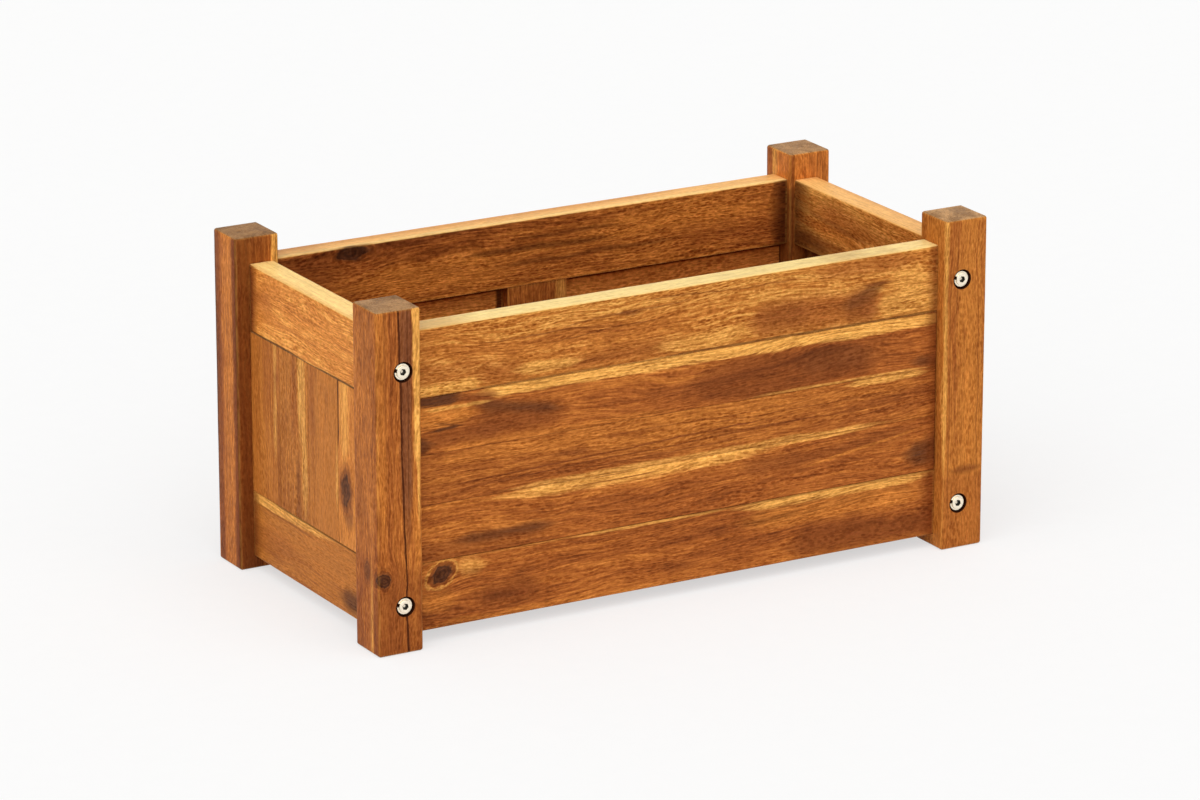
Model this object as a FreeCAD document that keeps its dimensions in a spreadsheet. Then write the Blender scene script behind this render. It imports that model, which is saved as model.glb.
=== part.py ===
import FreeCAD, Part
import os
import re
import Sketcher

# Raised garden bed of oiled hardwood: four square posts, four framed sides, a slatted floor.
# Millimetres. The origin is on the ground at the middle of the bed, +X runs along the length,
# -Y is the front and +Z is up.

# Driving sizes, each with what it measures.
SIZES = [
    ("bed_length", 500, "over the posts, left to right"),
    ("bed_width", 250, "over the posts, front to back"),
    ("post_height", 250, "ground to post top"),
    ("post_size", 35, "side of a square post"),
    ("post_edge_radius", 2, "rounding of a post's edges"),
    ("rim_drop", 20, "post top down to the top rails"),
    ("foot_gap", 9.5, "ground up to the bottom rails"),
    ("rail_height", 50, "top and bottom rails"),
    ("rail_thickness", 20, "top and bottom rails"),
    ("rail_edge_radius", 1.5, "rounding of a rail's free edges"),
    ("inner_reveal", 4, "rail's inner face back from the post's"),
    ("panel_thickness", 10, "staves of all four panels"),
    ("middle_stave_height", 37, "middle stave of a long side"),
    ("tongue_thickness", 5, "tongue at the back of a stave"),
    ("tongue_length", 5, "tongue at a stave's edge"),
    ("groove_clearance", 0.15, "each side of a tongue in its groove"),
    ("panel_gap", 0.3, "hairline between a stave and its frame"),
    ("stave_gap", 0.2, "hairline between two staves"),
    ("batten_width", 50, "upright batten inside a long side"),
    ("batten_reveal", 1, "batten's face back from the rail's"),
    ("bearer_height", 16, "floor bearer"),
    ("bearer_thickness", 15, "floor bearer"),
    ("bearer_lift", 4, "rail's lower edge up to the bearer"),
    ("slat_thickness", 10, "floor slat"),
    ("slat_gap", 7, "drainage gap between two slats"),
    ("slat_clearance", 1, "floor slats and bearers clear of the frame"),
    ("bolt_diameter", 6, "shank"),
    ("bolt_head_diameter", 9.2, "low flat head"),
    ("bolt_head_height", 1.2, "low flat head"),
    ("bolt_head_recess", 0.15, "head below the post's face"),
    ("bolt_reach", 14, "length screwed into the insert"),
    ("hex_width", 4, "socket across its flats"),
    ("hex_depth", 2, "socket, which runs on into the shank"),
    ("washer_diameter", 11.8, "spring washer, outside"),
    ("washer_thickness", 1.6, "spring washer, tightened flat"),
    ("washer_split", 2.4, "slot through the spring washer"),
    ("counterbore_clearance", 1.3, "round the spring washer"),
    ("bore_clearance", 0.25, "round a bolt's shank"),
    ("insert_diameter", 10, "threaded insert, outside"),
    ("insert_length", 18, "threaded insert"),
    ("fit_clearance", 0.05, "round a dowel, insert, thread or screw"),
    ("end_clearance", 0.5, "past the end of a dowel, insert or screw"),
    ("bore_wall", 1.5, "wood between two bores in a post"),
    ("dowel_diameter", 6, "dowel between a rail and a post"),
    ("dowel_length", 30, "dowel between a rail and a post"),
    ("batten_dowel_diameter", 4, "dowel between a batten and a rail"),
    ("batten_dowel_length", 20, "dowel between a batten and a rail"),
    ("screw_diameter", 4, "shank of the countersunk screws"),
    ("screw_head_diameter", 8, "countersunk screws"),
    ("screw_recess_width", 1.2, "arm of the cross recess"),
    ("screw_recess_depth", 1.4, "cross recess"),
    ("floor_screw_bite", 10, "length in the bearer"),
    ("bearer_screw_bite", 12, "length in the rail"),
]
END_STAVES = 4
FLOOR_SLATS = 8
WASHER_TURN = 15  # degrees that a washer's split stands above the level line, to the left
SAME_PLACE = 1e-6  # millimetres within which two places count as one
SIZE_NAMES = {name for name, value, note in SIZES}

doc = FreeCAD.newDocument("garden_bed")
sheet = doc.addObject("Spreadsheet::Sheet", "sizes")
for row, (name, value, note) in enumerate(SIZES, start=1):
    sheet.set(f"A{row}", name)
    sheet.set(f"B{row}", str(value))
    sheet.set(f"C{row}", note)
    sheet.setAlias(f"B{row}", name)
doc.recompute()

# Formulas that several pieces share.
INNER_LENGTH = "(bed_length - 2 * post_size)"
INNER_WIDTH = "(bed_width - 2 * post_size)"
SETBACK = "(post_size - rail_thickness - inner_reveal)"
RAIL_AXIS = f"({SETBACK} + rail_thickness / 2)"
RAIL_BOTTOM = {"top": "(post_height - rim_drop - rail_height)", "bottom": "foot_gap"}
RAIL_MIDDLE = {level: f"({bottom} + rail_height / 2)" for level, bottom in RAIL_BOTTOM.items()}
PANEL_BOTTOM = "(foot_gap + rail_height + panel_gap)"
PANEL_TOP = f"({RAIL_BOTTOM['top']} - panel_gap)"
STAVE_BELOW_MIDDLE = f"(({PANEL_TOP} - {PANEL_BOTTOM} - middle_stave_height) / 2)"
TONGUE_FRONT = "(panel_thickness - tongue_thickness)"
GROOVE_FRONT = f"({TONGUE_FRONT} - groove_clearance)"
GROOVE_BACK = "(panel_thickness + groove_clearance)"
BATTEN_THICKNESS = "(rail_thickness - panel_thickness - batten_reveal)"
BATTEN_AXIS = f"(panel_thickness + {BATTEN_THICKNESS} / 2)"
BEARER_BOTTOM = "(foot_gap + bearer_lift)"
FLOOR_BOTTOM = f"({BEARER_BOTTOM} + bearer_height)"
FLOOR_TOP = f"({FLOOR_BOTTOM} + slat_thickness)"
FLOOR_LENGTH = f"({INNER_LENGTH} - 2 * slat_clearance)"
SLAT_WIDTH = f"(({FLOOR_LENGTH} - {FLOOR_SLATS - 1} * slat_gap) / {FLOOR_SLATS})"
SLAT_PITCH = f"({SLAT_WIDTH} + slat_gap)"
BEARER_AXIS = f"(bed_width / 2 - {SETBACK} - rail_thickness - bearer_thickness / 2)"
COUNTERBORE_DEPTH = "(washer_thickness + bolt_head_height + bolt_head_recess)"
BOLT_BORE = "(bolt_diameter + 2 * bore_clearance)"
INSERT_BORE = "(insert_diameter + 2 * fit_clearance)"
INSERT_DEPTH = "(insert_length + end_clearance)"
DOWEL_BORE = "(dowel_diameter + 2 * fit_clearance)"
DOWEL_DEPTH = "(dowel_length / 2 + end_clearance)"
BATTEN_DOWEL_BORE = "(batten_dowel_diameter + 2 * fit_clearance)"
BATTEN_DOWEL_DEPTH = "(batten_dowel_length / 2 + end_clearance)"
SCREW_BORE = "(screw_diameter + 2 * fit_clearance)"
COUNTERSINK = "((screw_head_diameter - screw_diameter) / 2)"
LONG_DOWEL_OFFSET = f"(({BOLT_BORE} + {DOWEL_BORE}) / 2 + bore_wall)"
END_DOWEL_OFFSET = f"({LONG_DOWEL_OFFSET} + {DOWEL_BORE} + bore_wall)"

# Which way a level's outer edge lies from its rail's middle: up on a top rail, down on a bottom one.
OUTWARD = {"top": 1, "bottom": -1}
# A side's clear span, its turn about Z, and where the middle of its outer face stands.
SIDES = {
    "front": (INNER_LENGTH, 0, "0", f"-(bed_width / 2 - {SETBACK})"),
    "back": (INNER_LENGTH, 180, "0", f"bed_width / 2 - {SETBACK}"),
    "left": (INNER_WIDTH, -90, f"-(bed_length / 2 - {SETBACK})", "0"),
    "right": (INNER_WIDTH, 90, f"bed_length / 2 - {SETBACK}", "0"),
}
LONG_SIDES = ("front", "back")
END_SIDES = ("left", "right")
# The origin plane square to each axis, and which way that plane faces along the axis.
PLANES = {"x": ("YZ_Plane", 1), "y": ("XZ_Plane", -1), "z": ("XY_Plane", 1)}
X_AXIS = FreeCAD.Vector(1, 0, 0)
Y_AXIS = FreeCAD.Vector(0, 1, 0)
Z_AXIS = FreeCAD.Vector(0, 0, 1)

nodes = []


def formula(text):
    """The text with each size name pointed at its cell in the sheet."""
    return re.sub(r"[a-z_]+", lambda word: f"sizes.{word[0]}" if word[0] in SIZE_NAMES else word[0], text)


def bind(thing, prop, text):
    thing.setExpression(prop, formula(text))


def place(thing, x, y, z, rotation):
    thing.Placement = FreeCAD.Placement(FreeCAD.Vector(), rotation)
    for axis, text in zip("xyz", (x, y, z)):
        bind(thing, f"Placement.Base.{axis}", text)


def new_body(label):
    body = doc.addObject("PartDesign::Body", label)
    body.Label = label
    return body


def sketch_on(body, axis, offset):
    """An empty sketch square to an axis, the offset along that axis from the body's origin."""
    role, facing = PLANES[axis]
    plane = next(feature for feature in body.Origin.OriginFeatures if feature.Role == role)
    sketch = body.newObject("Sketcher::SketchObject", "sketch")
    sketch.AttachmentSupport = [(plane, "")]
    sketch.MapMode = "FlatFace"
    bind(sketch, "AttachmentOffset.Base.z", f"{facing} * ({offset})")
    return sketch


def fix_point(sketch, geometry, point, spot):
    """Bind a point's two distances from the sketch's origin."""
    for kind, text in zip(("DistanceX", "DistanceY"), spot):
        index = sketch.addConstraint(Sketcher.Constraint(kind, -1, 1, geometry, point, 1.0))
        bind(sketch, f"Constraints[{index}]", text)


def draw_outline(sketch, spots):
    """A closed outline of straight lines through the spots."""
    corners = [FreeCAD.Vector(*(sheet.evalExpression(formula(text)) for text in spot)) for spot in spots]
    for corner, following in zip(corners, corners[1:] + corners[:1]):
        sketch.addGeometry(Part.LineSegment(corner, following), False)
    for index in range(len(spots)):
        following = (index + 1) % len(spots)
        sketch.addConstraint(Sketcher.Constraint("Coincident", index, 2, following, 1))
    for index, spot in enumerate(spots):
        fix_point(sketch, index, 1, spot)


def draw_rectangle(sketch, corner, opposite):
    left, low = corner
    right, high = opposite
    draw_outline(sketch, [(left, low), (right, low), (right, high), (left, high)])


def draw_circle(sketch, spot, diameter):
    circle = sketch.addGeometry(Part.Circle(FreeCAD.Vector(), Z_AXIS, 1), False)
    fix_point(sketch, circle, 3, spot)
    index = sketch.addConstraint(Sketcher.Constraint("Diameter", circle, 1.0))
    bind(sketch, f"Constraints[{index}]", diameter)


def pad_block(body, axis, middle, length, corner, opposite):
    """Add a block: a rectangle square to the axis, padded half the length each way."""
    sketch = sketch_on(body, axis, middle)
    draw_rectangle(sketch, corner, opposite)
    pad = body.newObject("PartDesign::Pad", "pad")
    pad.Profile = sketch
    pad.SideType = "Symmetric"
    bind(pad, "Length", length)
    doc.recompute()


def sink(body, sketch, axis, heading, depth):
    """Cut the sketch into the body, heading up (1) or down (-1) the axis."""
    before = body.Tip.Shape.Volume
    pocket = body.newObject("PartDesign::Pocket", "pocket")
    pocket.Profile = sketch
    pocket.Reversed = heading == PLANES[axis][1]
    bind(pocket, "Length", depth)
    doc.recompute()
    if pocket.Shape.Volume >= before:
        raise RuntimeError(f"a cut in {body.Label} takes nothing away")


def cut_block(body, axis, start, heading, depth, corner, opposite):
    sketch = sketch_on(body, axis, start)
    draw_rectangle(sketch, corner, opposite)
    sink(body, sketch, axis, heading, depth)


def bore(body, axis, start, heading, depth, diameter, spots):
    """Drill round holes of one diameter and depth."""
    sketch = sketch_on(body, axis, start)
    for spot in spots:
        draw_circle(sketch, spot, diameter)
    sink(body, sketch, axis, heading, depth)


def dress_edges(body, kind, prop, size, wanted):
    """Round (Fillet) or bevel (Chamfer) the edges that the test wants."""
    base = body.Tip
    names = [f"Edge{index}" for index, edge in enumerate(base.Shape.Edges, start=1) if wanted(edge)]
    feature = body.newObject(f"PartDesign::{kind}", kind.lower())
    feature.Base = (base, names)
    bind(feature, prop, size)
    doc.recompute()


def is_round(edge):
    return edge.Curve.TypeId == "Part::GeomCircle"


def at_height(edge, height):
    return abs(edge.CenterOfMass.z - height) < SAME_PLACE


def finish_side_piece(body, side):
    """Stand a piece that was made in its side's own frame on that side of the bed."""
    span, turn, x, y = SIDES[side]
    place(body, x, y, "0", FreeCAD.Rotation(Z_AXIS, turn))
    nodes.append(body)


def make_post(end, side):
    """A square post with its bolt bores, dowel bores and the groove for the long side's panel."""
    inward = {"left": 1, "right": -1}[end] * {"front": 1, "back": -1}[side]
    body = new_body(f"post_{side}_{end}")
    half = "post_size / 2"
    pad_block(body, "z", "post_height / 2", "post_height", (f"-{half}", f"-{half}"), (half, half))
    dress_edges(body, "Fillet", "Radius", "post_edge_radius", lambda edge: True)

    rail_line = f"({RAIL_AXIS} - {half})"
    bolt_line = f"{inward} * {rail_line}"
    bolts = [(bolt_line, RAIL_MIDDLE[level]) for level in OUTWARD]
    counterbore = "washer_diameter + 2 * counterbore_clearance"
    bore(body, "y", f"-{half}", 1, COUNTERBORE_DEPTH, counterbore, bolts)
    bore(body, "y", f"-{half}", 1, "post_size", BOLT_BORE, bolts)

    end_dowels = [(bolt_line, f"{RAIL_MIDDLE[level]} + {sign} * {END_DOWEL_OFFSET}")
                  for level, sign in OUTWARD.items()]
    bore(body, "y", half, -1, DOWEL_DEPTH, DOWEL_BORE, end_dowels)
    long_dowels = [(rail_line, f"{RAIL_MIDDLE[level]} + {sign} * {LONG_DOWEL_OFFSET}")
                   for level in OUTWARD for sign in (1, -1)]
    inner_face = f"{inward} * {half}"
    bore(body, "x", inner_face, -inward, DOWEL_DEPTH, DOWEL_BORE, long_dowels)

    panel_face = f"({SETBACK} - {half})"
    cut_block(body, "x", inner_face, -inward, "tongue_length",
              (f"{panel_face} + {GROOVE_FRONT}", f"{PANEL_BOTTOM} - tongue_length - panel_gap"),
              (f"{panel_face} + {GROOVE_BACK}", f"{PANEL_TOP} + tongue_length + panel_gap"))

    across = {"left": -1, "right": 1}[end]
    along = {"front": -1, "back": 1}[side]
    turn = {"front": 0, "back": 180}[side]
    place(body, f"{across} * (bed_length - post_size) / 2", f"{along} * (bed_width - post_size) / 2", "0",
          FreeCAD.Rotation(Z_AXIS, turn))
    nodes.append(body)


def make_rail(side, level):
    """A rail of one side, grooved for the panel and bored at both ends."""
    span = SIDES[side][0]
    bottom = RAIL_BOTTOM[level]
    top = f"({bottom} + rail_height)"
    middle = RAIL_MIDDLE[level]
    outward = OUTWARD[level]
    body = new_body(f"{side}_{level}_rail")
    pad_block(body, "x", "0", span, ("0", bottom), ("rail_thickness", top))
    box = body.Shape.BoundBox
    free_height = box.ZMax if level == "top" else box.ZMin
    dress_edges(body, "Fillet", "Radius", "rail_edge_radius",
                lambda edge: at_height(edge, free_height) and edge.BoundBox.XLength > edge.BoundBox.YLength)

    panel_edge = bottom if level == "top" else top
    cut_block(body, "x", f"{span} / 2", -1, span,
              (GROOVE_FRONT, panel_edge), (GROOVE_BACK, f"{panel_edge} + {outward} * tongue_length"))

    centre = "rail_thickness / 2"
    for end in (1, -1):
        face = f"{end} * {span} / 2"
        if side in LONG_SIDES:
            dowels = [(centre, f"{middle} + {sign} * {LONG_DOWEL_OFFSET}") for sign in (1, -1)]
        else:
            dowels = [(centre, f"{middle} + {outward} * {END_DOWEL_OFFSET}")]
            bore(body, "x", face, -end, INSERT_DEPTH, INSERT_BORE, [(centre, middle)])
        bore(body, "x", face, -end, DOWEL_DEPTH, DOWEL_BORE, dowels)

    if side in LONG_SIDES:
        battens = [(f"{sign} * batten_width / 4", BATTEN_AXIS) for sign in (1, -1)]
        bore(body, "z", panel_edge, outward, BATTEN_DOWEL_DEPTH, BATTEN_DOWEL_BORE, battens)
    if side in LONG_SIDES and level == "bottom":
        bore(body, "y", "rail_thickness", -1, "bearer_screw_bite + end_clearance", SCREW_BORE,
             bearer_screw_spots())
    finish_side_piece(body, side)


def make_long_stave(side, name, low, high, tongue_low, tongue_high):
    """A lengthwise stave: its ends, and the edge that meets a rail, carry a tongue."""
    shoulder = f"({SIDES[side][0]} - 2 * panel_gap)"
    body = new_body(f"{side}_stave_{name}")
    pad_block(body, "x", "0", shoulder, ("0", low), ("panel_thickness", high))
    pad_block(body, "x", "0", f"{shoulder} + 2 * tongue_length",
              (TONGUE_FRONT, f"{low} - {tongue_low} * tongue_length"),
              ("panel_thickness", f"{high} + {tongue_high} * tongue_length"))
    finish_side_piece(body, side)


def make_long_panel(side):
    lower_joint = f"({PANEL_BOTTOM} + {STAVE_BELOW_MIDDLE})"
    upper_joint = f"({lower_joint} + middle_stave_height)"
    half_gap = "stave_gap / 2"
    make_long_stave(side, "lower", PANEL_BOTTOM, f"({lower_joint} - {half_gap})", 1, 0)
    make_long_stave(side, "middle", f"({lower_joint} + {half_gap})", f"({upper_joint} - {half_gap})", 0, 0)
    make_long_stave(side, "upper", f"({upper_joint} + {half_gap})", PANEL_TOP, 0, 1)


def make_end_stave(side, number):
    """An upright stave of an end panel, with a tongue in the rail above and the rail below."""
    pitch = f"({SIDES[side][0]} / {END_STAVES})"
    middle = f"({number} - {(END_STAVES + 1) / 2}) * {pitch}"
    width = f"{pitch} - stave_gap"
    body = new_body(f"{side}_stave_{number}")
    pad_block(body, "x", middle, width, ("0", PANEL_BOTTOM), ("panel_thickness", PANEL_TOP))
    pad_block(body, "x", middle, width, (TONGUE_FRONT, f"{PANEL_BOTTOM} - tongue_length"),
              ("panel_thickness", f"{PANEL_TOP} + tongue_length"))
    finish_side_piece(body, side)


def make_batten(side):
    """The upright batten inside a long side, dowelled into the rails above and below."""
    low = f"({PANEL_BOTTOM} - panel_gap)"
    high = f"({PANEL_TOP} + panel_gap)"
    body = new_body(f"{side}_batten")
    pad_block(body, "x", "0", "batten_width", ("panel_thickness", low),
              (f"panel_thickness + {BATTEN_THICKNESS}", high))
    spots = [(f"{sign} * batten_width / 4", BATTEN_AXIS) for sign in (1, -1)]
    for edge, heading in ((low, 1), (high, -1)):
        bore(body, "z", edge, heading, BATTEN_DOWEL_DEPTH, BATTEN_DOWEL_BORE, spots)
    finish_side_piece(body, side)


def slat_middle(number):
    return f"(({number} - {(FLOOR_SLATS + 1) / 2}) * {SLAT_PITCH})"


def bearer_screw_spots():
    """Under the drainage gaps, so that no floor screw is met."""
    height = f"{BEARER_BOTTOM} + bearer_height / 2"
    return [(f"{pitches} * {SLAT_PITCH}", height) for pitches in (-3, -1, 1, 3)]


def make_bearer(side):
    """A floor bearer, screwed to the inside of a long side's bottom rail."""
    inner_face = "(rail_thickness + bearer_thickness)"
    body = new_body(f"{side}_bearer")
    pad_block(body, "x", "0", FLOOR_LENGTH, ("rail_thickness", BEARER_BOTTOM), (inner_face, FLOOR_BOTTOM))
    bore(body, "y", inner_face, -1, "bearer_thickness", SCREW_BORE, bearer_screw_spots())
    face = body.Shape.BoundBox.YMax
    dress_edges(body, "Chamfer", "Size", COUNTERSINK,
                lambda edge: is_round(edge) and abs(edge.CenterOfMass.y - face) < SAME_PLACE)
    spots = [(slat_middle(number), "rail_thickness + bearer_thickness / 2")
             for number in range(1, FLOOR_SLATS + 1)]
    bore(body, "z", FLOOR_BOTTOM, -1, "floor_screw_bite + end_clearance", SCREW_BORE, spots)
    finish_side_piece(body, side)


def make_slat(number):
    """A floor slat across the bed, screwed down to both bearers."""
    middle = slat_middle(number)
    length = f"bed_width - 2 * ({SETBACK} + rail_thickness + slat_clearance)"
    body = new_body(f"floor_slat_{number}")
    pad_block(body, "y", "0", length, (f"{middle} - {SLAT_WIDTH} / 2", FLOOR_BOTTOM),
              (f"{middle} + {SLAT_WIDTH} / 2", FLOOR_TOP))
    bore(body, "z", FLOOR_TOP, -1, "slat_thickness", SCREW_BORE,
         [(middle, f"{sign} * {BEARER_AXIS}") for sign in (1, -1)])
    top = body.Shape.BoundBox.ZMax
    dress_edges(body, "Chamfer", "Size", COUNTERSINK,
                lambda edge: is_round(edge) and at_height(edge, top))
    nodes.append(body)


def turn_piece(label, outline):
    """A fastener turned about its own Y axis, from an outline of (radius, distance along) spots."""
    body = new_body(label)
    sketch = sketch_on(body, "z", "0")
    draw_outline(sketch, outline)
    revolution = body.newObject("PartDesign::Revolution", "revolution")
    revolution.Profile = sketch
    revolution.ReferenceAxis = (sketch, ["V_Axis"])
    revolution.Angle = 360
    doc.recompute()
    return body


def model_bolt():
    """A low head bolt: the head's underside is at zero and the shank points up the axis."""
    shank = "bolt_diameter / 2"
    head = "bolt_head_diameter / 2"
    length = f"(post_size - {COUNTERBORE_DEPTH} + washer_thickness + bolt_reach)"
    bolt = turn_piece("bolt", [("0", "-bolt_head_height"), (head, "-bolt_head_height"), (head, "0"),
                               (shank, "0"), (shank, length), ("0", length)])
    corner = "hex_width / sqrt(3)"
    socket = sketch_on(bolt, "y", "-bolt_head_height")
    draw_outline(socket, [(f"{corner} * cos({angle} deg)", f"{corner} * sin({angle} deg)")
                          for angle in range(0, 360, 60)])
    sink(bolt, socket, "y", 1, "hex_depth")
    return bolt


def model_spring_washer():
    """A ring whose split points down the X axis, with its seat at zero."""
    inner = f"{BOLT_BORE} / 2"
    outer = "washer_diameter / 2"
    washer = turn_piece("spring_washer", [(inner, "-washer_thickness"), (outer, "-washer_thickness"),
                                          (outer, "0"), (inner, "0")])
    cut_block(washer, "y", "-washer_thickness", 1, "washer_thickness",
              ("-washer_diameter", "-washer_split / 2"), ("0", "washer_split / 2"))
    return washer


def model_insert():
    """A threaded sleeve, flush with the rail's end at zero."""
    inner = "bolt_diameter / 2 + fit_clearance"
    outer = "insert_diameter / 2"
    return turn_piece("threaded_insert", [(inner, "0"), (outer, "0"), (outer, "insert_length"),
                                          (inner, "insert_length")])


def model_dowel(label, diameter, length):
    """A plain dowel, half of it each side of zero."""
    return turn_piece(label, [("0", f"-{length} / 2"), (f"{diameter} / 2", f"-{length} / 2"),
                              (f"{diameter} / 2", f"{length} / 2"), ("0", f"{length} / 2")])


def model_screw(label, length):
    """A countersunk screw with a cross recess, its head's face at zero."""
    shank = "screw_diameter / 2"
    screw = turn_piece(label, [("0", "0"), ("screw_head_diameter / 2", "0"), (shank, COUNTERSINK),
                               (shank, length), ("0", length)])
    arm = "screw_diameter / 2"
    half = "screw_recess_width / 2"
    recess = sketch_on(screw, "y", "0")
    draw_outline(recess, [(arm, f"-{half}"), (arm, half), (half, half), (half, arm), (f"-{half}", arm),
                          (f"-{half}", half), (f"-{arm}", half), (f"-{arm}", f"-{half}"),
                          (f"-{half}", f"-{half}"), (f"-{half}", f"-{arm}"), (half, f"-{arm}"),
                          (half, f"-{half}")])
    sink(screw, recess, "y", 1, "screw_recess_depth")
    return screw


def make_group(label, model, spots):
    """Set a copy of a fastener at each spot, given as x, y, z and a rotation, in one node."""
    copies = []
    for x, y, z, rotation in spots:
        copy = doc.addObject("App::Link", "copy")
        copy.LinkedObject = model
        place(copy, x, y, z, rotation)
        copies.append(copy)
    group = doc.addObject("Part::Compound", label)
    group.Label = label
    group.Links = copies
    nodes.append(group)


def end_joints():
    """Each joint of an end rail with a post: signs of x and y, level, and the inward turn about Z."""
    for x_sign in (-1, 1):
        for y_sign, turn in ((-1, 0), (1, 180)):
            for level in OUTWARD:
                yield x_sign, y_sign, level, FreeCAD.Rotation(Z_AXIS, turn)


def make_bolted_joints():
    bolts, washers, inserts, dowels = [], [], [], []
    split_turn = FreeCAD.Rotation(Y_AXIS, WASHER_TURN)
    for x_sign, y_sign, level, inward in end_joints():
        x = f"{x_sign} * (bed_length / 2 - {RAIL_AXIS})"
        z = RAIL_MIDDLE[level]
        seat = f"(bed_width / 2 - {COUNTERBORE_DEPTH})"
        rail_end = f"{y_sign} * {INNER_WIDTH} / 2"
        bolts.append((x, f"{y_sign} * ({seat} + washer_thickness)", z, inward))
        washers.append((x, f"{y_sign} * {seat}", z, inward * split_turn))
        inserts.append((x, rail_end, z, inward))
        dowels.append((x, rail_end, f"{z} + {OUTWARD[level]} * {END_DOWEL_OFFSET}", inward))
    make_group("frame_bolts", model_bolt(), bolts)
    make_group("spring_washers", model_spring_washer(), washers)
    make_group("threaded_inserts", model_insert(), inserts)
    make_group("end_rail_dowels", model_dowel("end_dowel", "dowel_diameter", "dowel_length"), dowels)


def make_long_rail_dowels():
    lying = FreeCAD.Rotation(Z_AXIS, 90)
    spots = [(f"{x_sign} * {INNER_LENGTH} / 2", f"{y_sign} * (bed_width / 2 - {RAIL_AXIS})",
              f"{RAIL_MIDDLE[level]} + {z_sign} * {LONG_DOWEL_OFFSET}", lying)
             for x_sign in (-1, 1) for y_sign in (-1, 1) for level in OUTWARD for z_sign in (-1, 1)]
    make_group("long_rail_dowels", model_dowel("long_dowel", "dowel_diameter", "dowel_length"), spots)


def make_batten_dowels():
    upright = FreeCAD.Rotation(X_AXIS, 90)
    dowel = model_dowel("batten_dowel", "batten_dowel_diameter", "batten_dowel_length")
    depth = f"(bed_width / 2 - {SETBACK} - {BATTEN_AXIS})"
    spots = [(f"{x_sign} * batten_width / 4", f"{y_sign} * {depth}", z, upright)
             for x_sign in (-1, 1) for y_sign in (-1, 1)
             for z in (f"{PANEL_BOTTOM} - panel_gap", f"{PANEL_TOP} + panel_gap")]
    make_group("batten_dowels", dowel, spots)


def make_screws():
    down = FreeCAD.Rotation(X_AXIS, -90)
    floor_spots = [(slat_middle(number), f"{y_sign} * {BEARER_AXIS}", FLOOR_TOP, down)
                   for number in range(1, FLOOR_SLATS + 1) for y_sign in (-1, 1)]
    floor_length = "(slat_thickness + floor_screw_bite)"
    make_group("floor_screws", model_screw("floor_screw", floor_length), floor_spots)

    head_face = f"({BEARER_AXIS} - bearer_thickness / 2)"
    bearer_spots = [(x, f"{y_sign} * {head_face}", z, FreeCAD.Rotation(Z_AXIS, turn))
                    for y_sign, turn in ((-1, 180), (1, 0)) for x, z in bearer_screw_spots()]
    bearer_length = "(bearer_thickness + bearer_screw_bite)"
    make_group("bearer_screws", model_screw("bearer_screw", bearer_length), bearer_spots)


def write_parts():
    """Check the whole document, then write each node to its own file."""
    doc.recompute()
    for thing in doc.Objects:
        if "Invalid" in thing.State or "Error" in thing.State:
            raise RuntimeError(f"{thing.Label} failed: {thing.State}")
    for node in nodes:
        if node.Shape.isNull() or not node.Shape.isValid():
            raise RuntimeError(f"{node.Label} has no valid shape")
    os.makedirs("parts", exist_ok=True)
    for node in nodes:
        node.Shape.exportStep(f"parts/{node.Label}.step")


for side in LONG_SIDES:
    for end in END_SIDES:
        make_post(end, side)
for side in SIDES:
    for level in OUTWARD:
        make_rail(side, level)
for side in LONG_SIDES:
    make_long_panel(side)
    make_batten(side)
    make_bearer(side)
for side in END_SIDES:
    for number in range(1, END_STAVES + 1):
        make_end_stave(side, number)
for number in range(1, FLOOR_SLATS + 1):
    make_slat(number)
make_bolted_joints()
make_long_rail_dowels()
make_batten_dowels()
make_screws()
write_parts()
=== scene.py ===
import inspect
import math
from typing import NamedTuple

import bpy
import numpy as np
from bpy.props import FloatProperty, FloatVectorProperty, PointerProperty
from bpy.types import Operator, Panel, PropertyGroup
from mathutils import Matrix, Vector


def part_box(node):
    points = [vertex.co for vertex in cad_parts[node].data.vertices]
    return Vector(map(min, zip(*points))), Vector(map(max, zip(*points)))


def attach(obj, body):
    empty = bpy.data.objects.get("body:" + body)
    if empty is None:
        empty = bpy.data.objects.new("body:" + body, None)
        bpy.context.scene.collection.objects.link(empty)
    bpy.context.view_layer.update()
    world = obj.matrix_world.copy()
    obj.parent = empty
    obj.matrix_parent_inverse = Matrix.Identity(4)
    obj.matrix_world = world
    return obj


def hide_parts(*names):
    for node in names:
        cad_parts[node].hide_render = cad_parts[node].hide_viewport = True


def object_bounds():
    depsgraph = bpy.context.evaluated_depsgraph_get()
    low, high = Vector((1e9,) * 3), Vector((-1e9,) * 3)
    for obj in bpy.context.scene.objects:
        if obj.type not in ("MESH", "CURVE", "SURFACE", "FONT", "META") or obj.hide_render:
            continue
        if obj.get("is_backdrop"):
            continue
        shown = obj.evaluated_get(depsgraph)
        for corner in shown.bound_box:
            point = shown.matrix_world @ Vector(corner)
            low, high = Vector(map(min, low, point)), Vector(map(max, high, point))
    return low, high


bl_info = {
    "name": "Raised Garden Bed",
    "version": (1, 0, 0),
    "blender": (4, 5, 0),
    "location": "3D View > Sidebar > Garden Bed",
    "description": "Dresses the raised garden bed in oiled hardwood boards and plated bolts",
    "category": "Object",
}

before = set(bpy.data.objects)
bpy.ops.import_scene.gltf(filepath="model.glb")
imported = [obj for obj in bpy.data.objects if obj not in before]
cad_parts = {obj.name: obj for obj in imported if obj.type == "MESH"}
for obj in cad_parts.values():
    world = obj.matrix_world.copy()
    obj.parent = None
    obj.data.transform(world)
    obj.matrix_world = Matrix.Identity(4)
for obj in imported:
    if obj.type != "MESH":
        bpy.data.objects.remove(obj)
CAD_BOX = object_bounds()

MM = 0.001
SIDES = ("front", "back")
ENDS = ("left", "right")
POSTS = [(side, end) for side in SIDES for end in ENDS]
COURSES = ("upper", "middle", "lower")

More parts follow.
